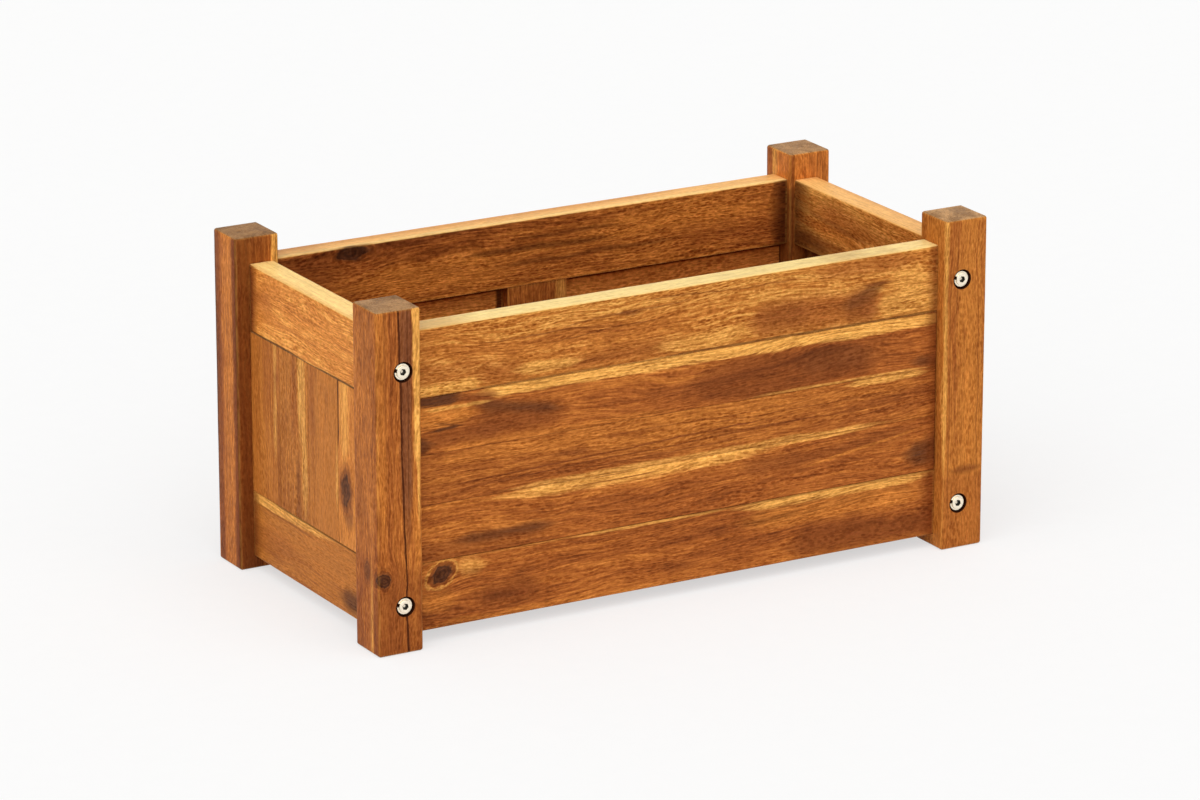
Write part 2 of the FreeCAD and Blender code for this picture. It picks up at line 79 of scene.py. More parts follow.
# Axes of the bed that run along, across and into a board
LONG_BOARD = (0, 2, 1)
END_BOARD = (1, 2, 0)
UPRIGHT = (2, 0, 1)
END_UPRIGHT = (2, 1, 0)
SLAT = (1, 0, 2)

# Tones that an unseen board may have: along the bed, at its ends, and underfoot
LONG_TONES = ("russet", "umber")
END_TONES = ("russet", "tan")
SLAT_TONES = ("russet", "tan", "amber")


def linear(red, green, blue):
    """A colour read off a screen, 0 to 255, as the linear colour with full alpha that shaders take."""
    c = np.array([red, green, blue]) / 255
    c = np.where(c <= 0.04045, c / 12.92, ((c + 0.055) / 1.055) ** 2.4)
    return (*c.tolist(), 1.0)


def size_setting(name, description, default):
    """A length in metres that a user may change."""
    return FloatProperty(name=name, description=description, default=default, min=0, precision=5,
                         subtype="DISTANCE", unit="LENGTH")


def colour_setting(name, description, default):
    """A colour that a user may change."""
    return FloatVectorProperty(name=name, description=description, default=default, size=4,
                               min=0, max=1, subtype="COLOR")


def share_setting(name, description, default):
    """A share between none and all."""
    return FloatProperty(name=name, description=description, default=default, min=0, max=1,
                         subtype="FACTOR")


def number_setting(name, description, default):
    """A number from nought up."""
    return FloatProperty(name=name, description=description, default=default, min=0)


class BedBoards(PropertyGroup):
    """Easing and unevenness of the boards."""

    post_edge: size_setting("Post edge", "Rounding of a post's edges", 2.0 * MM)
    rail_edge: size_setting("Rail edge", "Rounding of a rail's free edges", 1.5 * MM)
    joint_edge: size_setting("Joint edge", "Easing of edges that meet another board", 0.45 * MM)
    stave_edge: size_setting("Stave edge", "Easing of edges where two staves meet", 0.25 * MM)
    floor_edge: size_setting("Floor edge", "Rounding of slats and bearers", 1.2 * MM)
    shoulder_gap: size_setting("Shoulder gap", "Play between a stave and the frame round it", 0.3 * MM)
    waviness: size_setting("Waviness", "How far sanding has dished a board's faces", 0.14 * MM)


class BedWood(PropertyGroup):
    """Colours and grain of the oiled hardwood."""

    deep: colour_setting("Deep heart", "Darkest heartwood", linear(70, 30, 10))
    dark: colour_setting("Dark heart", "Dark bands of the heartwood", linear(116, 58, 24))
    heart: colour_setting("Heartwood", "Common heartwood", linear(160, 88, 36))
    amber: colour_setting("Amber", "Light heartwood", linear(194, 118, 48))
    tan: colour_setting("Tan", "Dull light heartwood", linear(186, 114, 46))
    sap: colour_setting("Sapwood", "Golden sapwood", linear(228, 164, 78))
    # The next two colours are painted light: they make top faces pale, or dull gold where less lit, for the
    # light that falls on them
    bleached: colour_setting("Bleached", "Planed top edges, pale from the light", linear(255, 222, 142))
    straw: colour_setting("Straw", "Planed top edges, dull gold", linear(238, 180, 104))
    smoke: colour_setting("Smoke", "Dark clouds in the heartwood", linear(86, 48, 26))
    plum: colour_setting("Plum", "Purple-brown bands in the heartwood", linear(104, 60, 38))
    knot: colour_setting("Knot", "Heart of a knot", linear(54, 32, 22))
    end: colour_setting("End grain", "Sawn end of a post", linear(156, 123, 85))
    ring_width: size_setting("Ring width", "Distance between growth rings", 3.4 * MM)
    pore_length: size_setting("Pore length", "Length of the dark pore dashes", 5.0 * MM)
    pore_width: size_setting("Pore width", "Distance between rows of pores", 1.5 * MM)
    oil_gloss: share_setting("Oil gloss", "Mirror strength of the oiled surface", 0.05)


class BedBolts(PropertyGroup):
    """Sizes and plating of the bolts and their washers."""

    head_diameter: size_setting("Head diameter", "Across the bolt's head", 9.2 * MM)
    head_height: size_setting("Head height", "From the washer to the top of the head", 1.2 * MM)
    head_edge: size_setting("Head edge", "Rounding of the head's rim", 0.4 * MM)
    socket: size_setting("Socket", "Across the flats of the hex socket", 4.0 * MM)
    socket_depth: size_setting("Socket depth", "Depth of the hex socket", 2.0 * MM)
    shank_diameter: size_setting("Shank diameter", "Across the bolt's shank", 6.0 * MM)
    washer_diameter: size_setting("Washer diameter", "Across the spring washer", 11.8 * MM)
    washer_hole: size_setting("Washer hole", "Across the washer's hole", 6.5 * MM)
    washer_thickness: size_setting("Washer thickness", "Thickness of the spring washer", 1.6 * MM)
    washer_split: size_setting("Washer split", "Width of the washer's split", 2.4 * MM)
    sink_diameter: size_setting("Sink diameter", "Across the sink round a bolt head", 14.4 * MM)
    sink_depth: size_setting("Sink depth", "Depth of the sink round a bolt head", 2.95 * MM)
    bore_diameter: size_setting("Bore diameter", "Across the bolt's bore in the post", 6.5 * MM)
    zinc: colour_setting("Zinc", "Plating of bolts and washers", linear(250, 237, 214))
    steel: colour_setting("Screw steel", "Plating of the floor's screws", linear(196, 184, 160))
    brass: colour_setting("Insert", "Plating of the threaded inserts", linear(206, 186, 140))


class BedStage(PropertyGroup):
    """Floor, light and camera."""

    floor: colour_setting("Floor", "Colour of the floor", linear(248, 248, 247))
    backdrop: share_setting("Backdrop", "How far the floor is seen as plain white", 0.6)
    sky: share_setting("Sky", "Brightness of the light from all round", 0.45)
    key: number_setting("Key", "Strength of the wide soft light from above the front", 1.9)
    fill: number_setting("Fill", "Strength of the soft light from the left", 0.4)
    lens: FloatProperty(name="Lens", description="Focal length on a 36 mm wide sensor, in millimetres",
                        default=174.9, min=1)
    camera_distance: size_setting("Camera distance", "From the camera to the middle of the bed", 4.273)


class Streak(NamedTuple):
    """A band of another colour along the grain; lengths in millimetres in the bed's own frame.

    The centre and half width are measured across the board, start and end along it. Slope tilts the
    band, wander lets it sway, fade is the length of its tapering ends and soft the share of its width
    that melts into the wood. Face keeps it to the two sides that look along an axis, or with a leading
    minus to the one side that looks down that axis.
    """

    tone: str
    centre: float
    half: float
    start: float
    end: float
    strength: float = 0.8
    slope: float = 0.0
    wander: float = 1.2
    fade: float = 14.0
    soft: float = 0.45
    face: str = ""


def cloud(*place, **shape):
    """A streak whose edges melt into the wood."""
    return Streak(*place, soft=0.7, **shape)


def wash(*place, **shape):
    """A streak with straight sides, such as painted shade over the whole width of a face."""
    return Streak(*place, wander=0, soft=0.3, **shape)


class Knot(NamedTuple):
    """A knot: its middle and its half sizes along, across and into the board, in millimetres.

    Core, halo and rim are the strengths of its dark heart, of the brown round it and of a pale ring.
    The turn, in degrees, tips its length from along the board towards across it.
    """

    along: float
    across: float
    deep: float
    length: float
    width: float
    depth: float
    core: float = 0.9
    halo: float = 0.6
    rim: float = 0.0
    turn: float = 0.0


class Look(NamedTuple):
    """Colours and figure of one board.

    Rings are given by the tree's middle, across and into the board from the board's own middle, and
    drift tilts them. Speckle is the strength of the fine grain and end the lightness of the sawn ends.
    """

    tone: str = "russet"
    shade: float = 1.0
    pith: tuple = (8.0, 42.0)
    drift: float = 0.02
    streaks: tuple = ()
    knots: tuple = ()
    speckle: float = 1.0
    end: float = 1.0


# Tones of the painted light on top faces, which also calm the grain under them
PLANED = ("bleached", "straw")
TONES = {
    "amber": ("heart", "amber", "sap"),
    "russet": ("dark", "heart", "amber"),
    "umber": ("deep", "dark", "heart"),
    "tan": ("heart", "tan", "amber"),
    "gold": ("tan", "amber", "sap"),
}

LOOKS = {
    "front_top_rail": Look("amber", 0.9, (30, 48), -0.012, (
        # Painted highlight: the top face made pale for the light that falls on it
        Streak("bleached", -104, 40, -400, 400, 0.95, face="z"),
        Streak("tan", -104, 40, -400, -172, 0.4, fade=16, face="z"),
        cloud("heart", 190, 8, -164, -126, 0.6, fade=8),
        Streak("heart", 198, 8, -300, -160, 0.45, wander=2, fade=12, soft=0.8),
        cloud("heart", 189, 6, -94, -4, 0.6, wander=2),
        cloud("heart", 223, 6, 112, 192, 0.55, wander=2, fade=16),
        Streak("heart", 195, 13, 56, 166, 0.75, wander=2, fade=12, soft=0.6),
        Streak("dark", 196, 9, 62, 106, 0.35, wander=2, fade=10, soft=0.8),
        cloud("dark", 189, 6, 136, 164, 0.4, fade=6),
        Streak("smoke", 155, 5.2, 134, 168, 0.5, slope=0.3, fade=9, soft=0.9),
        Streak("smoke", 158, 2.2, 146, 172, 0.4, slope=0.3, wander=1, fade=7, soft=0.9),
        Streak("dark", 208.5, 1.2, 152, 178, 0.7, wander=0.6, fade=6),
        Streak("sap", 191, 9, 166, 300, 0.6, wander=2, fade=5, soft=0.5),
        cloud("sap", 207, 8, 176, 208, 0.45, wander=2, fade=10),
        Streak("sap", 188.5, 3.6, -134, -84, 0.65, fade=12, soft=0.6),
        Streak("sap", 184.5, 4.2, -300, -164, 0.7, wander=0.8, fade=8),
        cloud("sap", 188, 5, -20, 54, 0.5, wander=2),
        cloud("dark", 217, 1.6, -52, -33, 0.75, fade=7),
        Streak("dark", 209, 0.7, -165, -60, 0.6, slope=-0.03, wander=2, fade=20),
        Streak("dark", 211, 0.6, -110, -10, 0.55, slope=0.05, wander=1.6, fade=20),
        Streak("dark", 220, 0.7, -95, 10, 0.55, slope=0.05, fade=16),
        Streak("dark", 224, 0.6, -30, 100, 0.5, slope=-0.03, wander=2, fade=20),
        Streak("deep", 180.7, 0.7, -170, -50, 0.5, wander=0.1, fade=12, face="y"),
        Streak("deep", 180.7, 0.9, -10, 400, 0.75, wander=0.1, fade=20, face="y"),
        # Painted shade at the right end, beside the front right post
        wash("dark", 205, 60, 209, 400, 0.7, fade=6, face="y"),
    ), speckle=1.2),
    "front_stave_upper": Look("russet", 1.02, (-26, 40), 0.015, (
        Streak("amber", 140.5, 2.4, -190, -10, 0.55, wander=0.6, fade=20, soft=0.6),
        Streak("sap", 139.2, 1.1, 60, 205, 0.6, wander=0.3, fade=16),
        Streak("dark", 155, 14.5, 6, 164, 0.62, wander=0.8, fade=20, soft=0.3),
        Streak("smoke", 158, 8, 95, 160, 0.3, fade=16, soft=0.6),
        Streak("smoke", 145, 4.5, 194, 300, 0.65, fade=9, soft=0.6),
        cloud("dark", 155, 11, -168, -94, 0.6, wander=1, fade=16),
        Streak("smoke", 139.2, 4.6, -166, -100, 0.7, slope=-0.178, wander=0.6, fade=12, soft=0.9),
        cloud("dark", 148, 5, -206, -148, 0.55),
        Streak("amber", 165, 7.5, -300, -168, 0.9, wander=0.8, fade=10),
        Streak("sap", 170.2, 1.5, -206, -156, 0.6, wander=0.5, fade=8),
        Streak("dark", 170.4, 0.8, -300, -196, 0.6, slope=0.08, wander=0.3, fade=6, soft=0.6),
        Streak("knot", 170.4, 1.1, -201, -178, 0.8, slope=0.08, wander=0.3, fade=7, soft=0.6),
        cloud("smoke", 120.4, 0.9, -199, -181, 0.5, slope=-0.2, wander=0.2, fade=5),
        Streak("smoke", 145, 5.8, -300, -202, 0.85, wander=0.6, fade=9, soft=0.6),
        Streak("sap", 176.2, 4.6, -160, 300, 0.85, slope=-0.004, wander=0.6, fade=16, soft=0.25),
        Streak("smoke", 176.6, 4.0, -300, -178, 0.95, wander=0.4, fade=10, soft=0.3),
        Streak("dark", 174.8, 2.4, -180, -148, 0.65, wander=0.4, fade=8, soft=0.6),
        # Painted shade at the right end, beside the front right post
        wash("dark", 160, 60, 207, 400, 0.7, fade=7, face="y"),
    ), speckle=0.85),
    "front_stave_middle": Look("russet", 0.92, (14, 52), -0.01, (
        cloud("amber", 132, 4.5, -195, -60, 0.5, wander=1, fade=24),
        cloud("amber", 128, 5, 60, 200, 0.35, wander=2.5, fade=30),
        Streak("sap", 135.8, 2.6, 140, 205, 0.7, wander=0.5, fade=10, soft=0.5),
        cloud("dark", 122, 1.9, -104, -75, 0.6, fade=8),
        Streak("dark", 119, 0.65, -184, 70, 0.8, slope=0.032, wander=0.7, fade=20),
        Streak("dark", 114, 0.6, -150, 120, 0.7, slope=0.022, wander=0.7, fade=24),
        Streak("dark", 109.5, 0.6, -110, 60, 0.6, slope=0.012, wander=0.7, fade=22),
        Streak("dark", 117, 0.55, 0, 160, 0.6, slope=-0.008, wander=0.8, fade=26),
        Streak("dark", 125, 0.55, 10, 190, 0.5, wander=0.9, fade=26),
        Streak("dark", 129, 0.5, -70, 110, 0.5, wander=0.9, fade=26),
        Streak("sap", 102.6, 2.2, -132, 165, 0.6, wander=0.5, fade=30, soft=0.5),
        # Painted shade at the right end, beside the front right post
        wash("dark", 120, 60, 209, 400, 0.5, fade=6, face="y"),
    )),
    "front_stave_lower": Look("russet", 1.01, (-20, 45), 0.012, (
        cloud("dark", 69, 5.5, -300, -110, 0.5, wander=1, fade=20),
        Streak("smoke", 72, 3.6, -182, -106, 0.7, wander=0.8, soft=0.9),
        Streak("dark", 61.8, 1.6, -300, -108, 0.55, fade=18),
        cloud("dark", 87, 6.5, 50, 108, 0.55, wander=1, fade=12),
        cloud("dark", 79.5, 4.2, 100, 198, 0.5, slope=0.07, wander=0.8),
        Streak("amber", 65, 1.0, 104, 198, 0.6, slope=0.14, wander=0.5, fade=12),
        Streak("smoke", 75, 10, 190, 300, 0.85, wander=1.5, fade=10, soft=0.6),
        Streak("dark", 80, 0.7, -120, 40, 0.5, slope=0.02, fade=30),
        Streak("dark", 85, 0.6, -150, -20, 0.45, slope=0.01, fade=30),
        Streak("sap", 98, 4.6, -140, 62, 0.75, wander=0.6, fade=36, soft=0.5),
        Streak("dark", 96.2, 0.5, -92, -18, 0.75, wander=0.4, fade=12),
        Streak("dark", 99.9, 0.4, -78, -34, 0.6, wander=0.3, fade=10),
        Streak("sap", 100.4, 1.4, 28, 152, 0.6, wander=0.3, fade=20),
        # Painted shade at the right end, beside the front right post
        wash("dark", 80, 60, 207, 400, 0.6, fade=7, face="y"),
    ), speckle=0.95),
    "front_bottom_rail": Look("russet", 0.99, (-24, 44), 0.016, (
        Streak("amber", 46, 8.5, 54, 206, 0.7, wander=2, fade=24, soft=0.6),
        Streak("sap", 56.8, 3.8, 52, 206, 0.8, wander=0.6, fade=24),
        Streak("dark", 22, 10, 90, 300, 0.75, wander=2, soft=0.5),
        cloud("dark", 22, 4, -18, 12, 0.5, fade=10),
        Streak("dark", 28, 8.2, -168, -116, 0.7, wander=1, fade=12, soft=0.8),
        cloud("deep", 26, 2.4, -160, -135, 0.4, fade=8),
        cloud("amber", 31, 8, -216, -182, 0.55, wander=1.5, fade=10),
        Streak("sap", 51, 5, -182, -160, 0.45, wander=1, fade=8, soft=0.8),
        Streak("sap", 58.6, 1.2, -84, 34, 0.5, wander=0.4, fade=20),
        Streak("amber", 12, 2.2, -200, -20, 0.45, fade=20),
        # Painted shade at the right end, beside the front right post
        wash("dark", 35, 60, 205, 400, 0.75, fade=9, face="y"),
        Streak("deep", 59.2, 0.7, 0, 400, 0.5, wander=0.1, fade=16, face="y"),
    ), (
        Knot(-194.5, 49, -114, 10.2, 7.0, 12, 0.84, 0.75, 0.45, turn=30),
    ), speckle=0.9),
    "left_top_rail": Look("gold", 1.18, (20, 50), -0.02, (
        # Painted highlight on the top face, pale and dull gold
        Streak("bleached", -229, 40, -400, 400, 0.8, face="z"),
        Streak("straw", -229, 40, -400, 400, 0.5, face="z"),
        cloud("tan", -238, 3.5, -400, 400, 0.3, wander=0.6, face="z"),
        cloud("amber", 208, 8, -70, 40, 0.4, wander=2, fade=25),
        cloud("heart", 207, 7, 56, 86, 0.65, wander=2, fade=9, face="x"),
        # Painted shade at the back end of the outer face, beside the back left post
        wash("dark", 205, 60, 81, 200, 0.95, fade=8, face="x"),
        wash("deep", 205, 60, 88, 200, 0.8, fade=6, face="x"),
        Streak("deep", 180.5, 0.7, 10, 200, 1.0, wander=0.1, fade=20, face="x"),
        Streak("deep", 180.5, 0.7, -200, -14, 1.0, wander=0.1, fade=12, face="x"),
        Streak("heart", 209, 0.9, -90, -38, 0.6, slope=0.06, fade=10),
        Streak("heart", 212, 0.8, -30, 70, 0.45, slope=0.03, wander=2, fade=16),
        Streak("heart", 196, 0.7, -20, 60, 0.45, slope=0.02, fade=16),
    ), speckle=0.75),
    "left_stave_1": Look("tan", 1.0, (-12, 60), 0.0, (
        cloud("sap", 53.5, 2.2, 96, 200, 0.5, slope=-0.01, wander=0.8, fade=20),
        cloud("heart", 67, 4, 118, 210, 0.4, fade=20),
        cloud("heart", 82, 6, 40, 200, 0.35, fade=20),
        cloud("dark", 47.2, 2.2, 50, 134, 0.45, wander=0.4, fade=20),
    ), speckle=0.7),
    "left_stave_2": Look("tan", 0.9, (22, 60), 0.0, (
        cloud("heart", 23, 4.5, 116, 210, 0.6, wander=0.8, fade=20),
        cloud("dark", 16.5, 3.4, 40, 108, 0.55, wander=0.6, fade=16),
        Streak("amber", 4.6, 6.4, 62, 300, 0.6, slope=0.028, wander=0.5, fade=30, soft=0.5),
        Streak("sap", 4.4, 4.2, 66, 300, 0.6, slope=0.028, wander=0.5, fade=30, soft=0.5),
        Streak("sap", 13.6, 2.8, 122, 300, 0.7, wander=0.5, fade=22, soft=0.5),
    )),
    "left_stave_3": Look("tan", 0.94, (-20, 55), 0.0, (
        cloud("heart", -5, 4.5, 118, 210, 0.5, wander=0.8, fade=20),
        cloud("amber", -24, 7, 110, 200, 0.35, fade=30),
        Streak("sap", -42.8, 1.8, 84, 134, 0.45, wander=0.4, soft=0.6),
    ), speckle=0.6),
    "left_stave_4": Look("gold", 1.16, (-40, 60), 0.0, (
        cloud("sap", -55, 5, 124, 300, 0.5, wander=1),
        cloud("heart", -66, 3, 112, 300, 0.3, wander=1),
        Streak("tan", -60, 18, -20, 84, 0.65, wander=1, fade=10, soft=0.5),
        cloud("plum", -59, 5.5, 74, 90, 0.5, wander=0.6, fade=6),
        Streak("deep", -45.8, 1.0, 122, 300, 1.0, wander=0.1, fade=18),
    ), (
        Knot(101, -56.5, -239, 15, 8.2, 10, 0.75, 0.75),
    ), speckle=0.6),
    "left_bottom_rail": Look("tan", 0.92, (30, 46), 0.03, (
        Streak("sap", 57.2, 3.6, -24, 130, 0.8, slope=-0.016, wander=0.5, fade=26, soft=0.4),
        Streak("dark", 51, 0.8, -10, 90, 0.5, slope=0.01, wander=0.6, fade=22),
        cloud("heart", 30, 10, 20, 130, 0.45, wander=3, fade=30),
        # Painted shade at the back end of the outer face, beside the back left post
        wash("dark", 30, 60, 82, 200, 0.75, fade=9, face="x"),
        Streak("deep", 59.3, 0.7, -200, 54, 0.9, wander=0.1, fade=12, face="x"),
        cloud("amber", 33, 2.5, -56, 0, 0.4, slope=0.05, wander=1),
        cloud("smoke", 21, 8.0, -300, -48, 0.8, wander=0.8, fade=12),
    ), speckle=0.65),
    "post_front_left": Look("russet", 0.99, (70, 36), 0.0, (
        cloud("amber", -246, 3.5, 92, 300, 0.5, wander=0.8, fade=30, face="y"),
        wash("dark", -232, 40, -60, 60, 0.45, face="y"),
        Streak("plum", -226.4, 4.8, 88, 400, 0.72, slope=-0.002, wander=0.4, fade=40, soft=0.3, face="y"),
        Streak("deep", -227.2, 0.75, -80, 400, 0.95, slope=-0.021, wander=0.7, soft=0.4, face="y"),
        Streak("sap", -217.6, 2.8, 138, 400, 0.85, slope=-0.004, wander=0.4, fade=18, soft=0.35, face="y"),
        Streak("sap", -217.6, 0.9, 98, 160, 0.75, wander=0.2, face="y"),
        Streak("dark", -236, 0.6, -20, 300, 0.3, slope=-0.012, fade=30, face="y"),
        Streak("dark", -241, 0.6, 60, 300, 0.3, slope=-0.01, fade=30, face="y"),
        Streak("deep", -225.5, 0.5, 90, 400, 0.5, wander=0.4, fade=40, face="y"),
        Streak("dark", -222.6, 0.5, 110, 300, 0.5, wander=0.4, fade=40, face="y"),
        Streak("amber", -106, 14, 72, 400, 0.4, wander=3, fade=40, soft=0.6, face="x"),
        cloud("dark", -98, 4.5, 88, 134, 0.45, wander=1, fade=12, face="x"),
        cloud("dark", -98, 7, -60, 48, 0.3, wander=1, fade=20, face="x"),
        Streak("dark", -121.5, 3.4, -60, 52, 0.55, wander=0.5, fade=12, soft=0.6, face="x"),
        Streak("sap", -114.6, 1.6, -60, 66, 0.45, wander=0.8, fade=20, soft=0.8, face="x"),
    ), (
        Knot(56, -245.8, -125, 7.0, 6.6, 7.5, 0.84, 0.85),
        Knot(60, -250, -108, 9.0, 5.5, 5.0, 0.45, 0.6),
    ), speckle=0.8, end=1.15),
    "post_front_right": Look("tan", 0.96, (-60, 30), 0.0, (
        cloud("amber", 237, 3.4, 64, 168, 0.5, wander=1, fade=24, face="y"),
        wash("heart", 232, 40, -60, 56, 0.5, fade=4, face="y"),
        Streak("dark", 219.5, 0.6, 20, 230, 0.45, fade=30, face="y"),
        Streak("dark", 224.5, 0.5, 90, 250, 0.4, fade=30, face="y"),
        Streak("dark", 244, 0.5, 30, 180, 0.4, fade=30, face="y"),
        Streak("sap", 216.2, 1.2, 60, 400, 0.5, wander=0.3, fade=30, soft=0.5, face="y"),
        Streak("sap", -124, 2.6, 70, 400, 0.6, fade=30, soft=0.5, face="x"),
        Streak("dark", -112, 4, 40, 200, 0.4, fade=30, soft=0.6, face="x"),
        Streak("dark", 236, 14, 57, 63, 0.7, wander=2, fade=3, soft=0.6, face="y"),
    ), speckle=0.85, end=1.52),
    "post_back_left": Look("russet", 1.07, (40, -60), 0.0, (
        cloud("amber", 103, 8, -60, 400, 0.5, wander=2, face="x"),
        cloud("dark", 118.5, 3.5, -60, 400, 0.6, wander=0.8, face="x"),
        Streak("smoke", 124, 2.6, 40, 400, 0.8, wander=0.5, fade=40, soft=0.6, face="x"),
        Streak("dark", 93, 3.6, -60, 400, 0.95, wander=0.3, soft=0.6, face="x"),
        Streak("deep", 90.5, 1.8, -60, 400, 0.6, wander=0.2, soft=0.6, face="x"),
        # Painted shade on the front face: in the corner beside the end panel, and higher up in the bed's back
        # left corner
        Streak("deep", -246, 12, -60, 400, 0.62, soft=0.5, face="-y"),
        Streak("deep", -230, 6, 170, 400, 0.4, soft=0.5, face="-y"),
        Streak("sap", -217.5, 3.4, 200, 400, 0.8, soft=0.4, face="y"),
    ), speckle=0.7, end=0.84),
    "post_back_right": Look("russet", 1.12, (-50, -40), 0.0, (
        Streak("sap", 112, 3.6, 180, 400, 0.75, soft=0.5, face="x"),
        Streak("amber", 103, 8, 150, 400, 0.6, soft=0.6, face="x"),
        Streak("amber", 234, 30, -60, 400, 0.4, wander=0, soft=0.5, face="y"),
        Streak("dark", 217, 1.6, 120, 400, 0.7, soft=0.5, face="y"),
        # Painted shadow on the two inner faces below the rail tops, in the bed's back right corner
        wash("deep", 108, 40, -60, 223, 0.7, fade=6, face="-x"),
        wash("deep", 232, 40, -60, 223, 0.55, fade=6, face="-y"),
    ), speckle=0.8, end=1.22),
    "back_top_rail": Look("russet", 1.0, (-18, 46), 0.014, (
        # Painted highlight on the top face, with a paler painted highlight along its inner top edge
        Streak("straw", 104, 40, -400, 400, 0.9, face="z"),
        cloud("tan", 111.5, 5.5, -400, 130, 0.5, wander=0.6, fade=40, face="z"),
        cloud("bleached", 95.5, 3.5, -400, 300, 0.45, wander=0.6, fade=30, face="z"),
        cloud("amber", 213, 9, 52, 190, 0.55, wander=3, fade=30),
        cloud("amber", 199, 11, -150, -30, 0.6, wander=3, fade=30),
        cloud("dark", 214, 12, -300, -164, 0.55, wander=2, fade=20),
        # Painted shade on the inner face at the right end, beside the back right post
        wash("deep", 205, 60, 203, 400, 0.85, fade=9, face="-y"),
        # Painted highlight: the eased lower edge of the inner face catching the light
        Streak("amber", 181.8, 0.9, -140, 200, 0.7, wander=0.2, fade=20, face="y"),
        cloud("deep", 208, 2.0, -60, 60, 0.6, slope=-0.02, fade=20),
        cloud("deep", 197, 1.6, -30, 120, 0.5, slope=0.015, fade=24),
        cloud("deep", 216, 1.4, -20, 70, 0.5, fade=20),
        cloud("amber", 187, 3, 80, 180, 0.35, fade=30),
    ), (
        Knot(-154, 225.5, 94, 15, 7, 3.2, 0.85, 0.5),
    ), speckle=1.3),
    "right_top_rail": Look("amber", 1.05, (24, 44), 0.02, (
        # Painted highlight on the top face
        Streak("straw", 229, 40, -400, 400, 0.9, face="z"),
        cloud("tan", 237.5, 3.5, -400, 400, 0.35, wander=0.6, face="z"),
        cloud("heart", 214, 8, -40, 60, 0.6, wander=3, fade=26),
        cloud("amber", 200, 4, -60, 40, 0.4, wander=2, fade=24),
        cloud("dark", 206, 2.2, -10, 70, 0.45, slope=0.06, fade=16),
        cloud("dark", 190, 4.0, 10, 90, 0.55, fade=20),
        # Painted shade on the inner face: over its back end near the back right post, and along its lower
        # edge towards that corner
        wash("deep", 205, 60, 72, 200, 0.78, fade=20, face="-x"),
        Streak("deep", 181, 9, 34, 200, 0.72, wander=0.5, fade=24, soft=0.8, face="-x"),
    ), speckle=1.1),
    # Painted light: this board is made lighter, and its inner face less saturated by the plum and sap washes
    # below, for light the lamps don't bring into the bed
    "back_stave_upper": Look("amber", 1.5, (18, 50), -0.01, (
        Streak("plum", 158, 80, -400, 400, 0.2, wander=0, face="-y"),
        Streak("sap", 158, 80, -400, 400, 0.12, wander=0, face="-y"),
        # Painted shadow beside the batten, on the inner face
        wash("deep", 158, 80, -30, -25, 0.9, fade=1.5, face="-y"),
        Streak("dark", 150, 5, -215, -60, 0.4, wander=2, fade=30, soft=0.6),
        Streak("heart", 166, 6, 40, 215, 0.4, wander=2, fade=30, soft=0.6),
        Streak("deep", 158, 0.9, 30, 200, 0.5, slope=0.01, fade=30),
        # Painted shadow under the top rail, on the inner face
        Streak("deep", 177.2, 1.5, -400, 400, 0.85, wander=0.2, soft=0.6, face="-y"),
    )),
    "right_stave_4": Look("russet", 1.0, (12, 48), 0.01, (
        Streak("dark", 60, 4, 80, 170, 0.5, fade=24, soft=0.6),
        Streak("sap", 84, 3, 60, 200, 0.5, fade=24, soft=0.6),
        # Painted shade over the whole inner face, in the bed's back right corner
        Streak("deep", 66, 80, -100, 400, 0.75, wander=0, face="-x"),
    )),
    "back_batten": Look("russet", 0.85, (60, 30), 0.0, (
        Streak("sap", 19.5, 4.2, 40, 240, 0.45, wander=1, fade=30, soft=0.4),
        cloud("heart", -6, 8, 60, 220, 0.35, wander=2, fade=30),
    )),
}


def letter_sum(name):
    """A whole number from a name's letters, for seeds."""
    return sum(map(ord, name))


def plain_look(name, tones, lo, hi, axes):
    """A look for a board that the photo doesn't show: tone, pith and a few streaks from its own seed.

    The streaks lie across the board's width, the sapwood at an edge, and run for part of its length.
    """
    rng = np.random.default_rng(letter_sum(name) * 7919)
    start, end = lo[axes[0]] / MM, hi[axes[0]] / MM
    low, high = lo[axes[1]] / MM, hi[axes[1]] / MM
    length, width = end - start, high - low
    tone = tones[rng.integers(len(tones))]
    streaks = []
    for kind, strength in (("sap", 0.75), ("dark", 0.55), ("heart", 0.4), ("dark", 0.5)):
        edge = kind == "sap"
        centre = (high if rng.random() < 0.5 else low) if edge else rng.uniform(low, high)
        half = width * (rng.uniform(0.10, 0.2) if edge else rng.uniform(0.02, 0.16))
        first = rng.uniform(start - 0.3 * length, start + 0.4 * length)
        last = first + rng.uniform(0.4, 1.1) * length
        streaks.append(Streak(kind, centre, half, first, last, strength, wander=1.5, fade=24, soft=0.55))
    pith = (rng.uniform(-40, 40), rng.uniform(32, 60))
    return Look(tone, rng.uniform(0.96, 1.1), pith, rng.uniform(-0.02, 0.02), tuple(streaks))


def settings():
    """The add-on's settings on the open scene."""
    return bpy.context.scene.garden_bed


def corners(node):
    """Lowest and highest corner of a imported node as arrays."""
    lo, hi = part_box(node)
    return np.array(lo), np.array(hi)


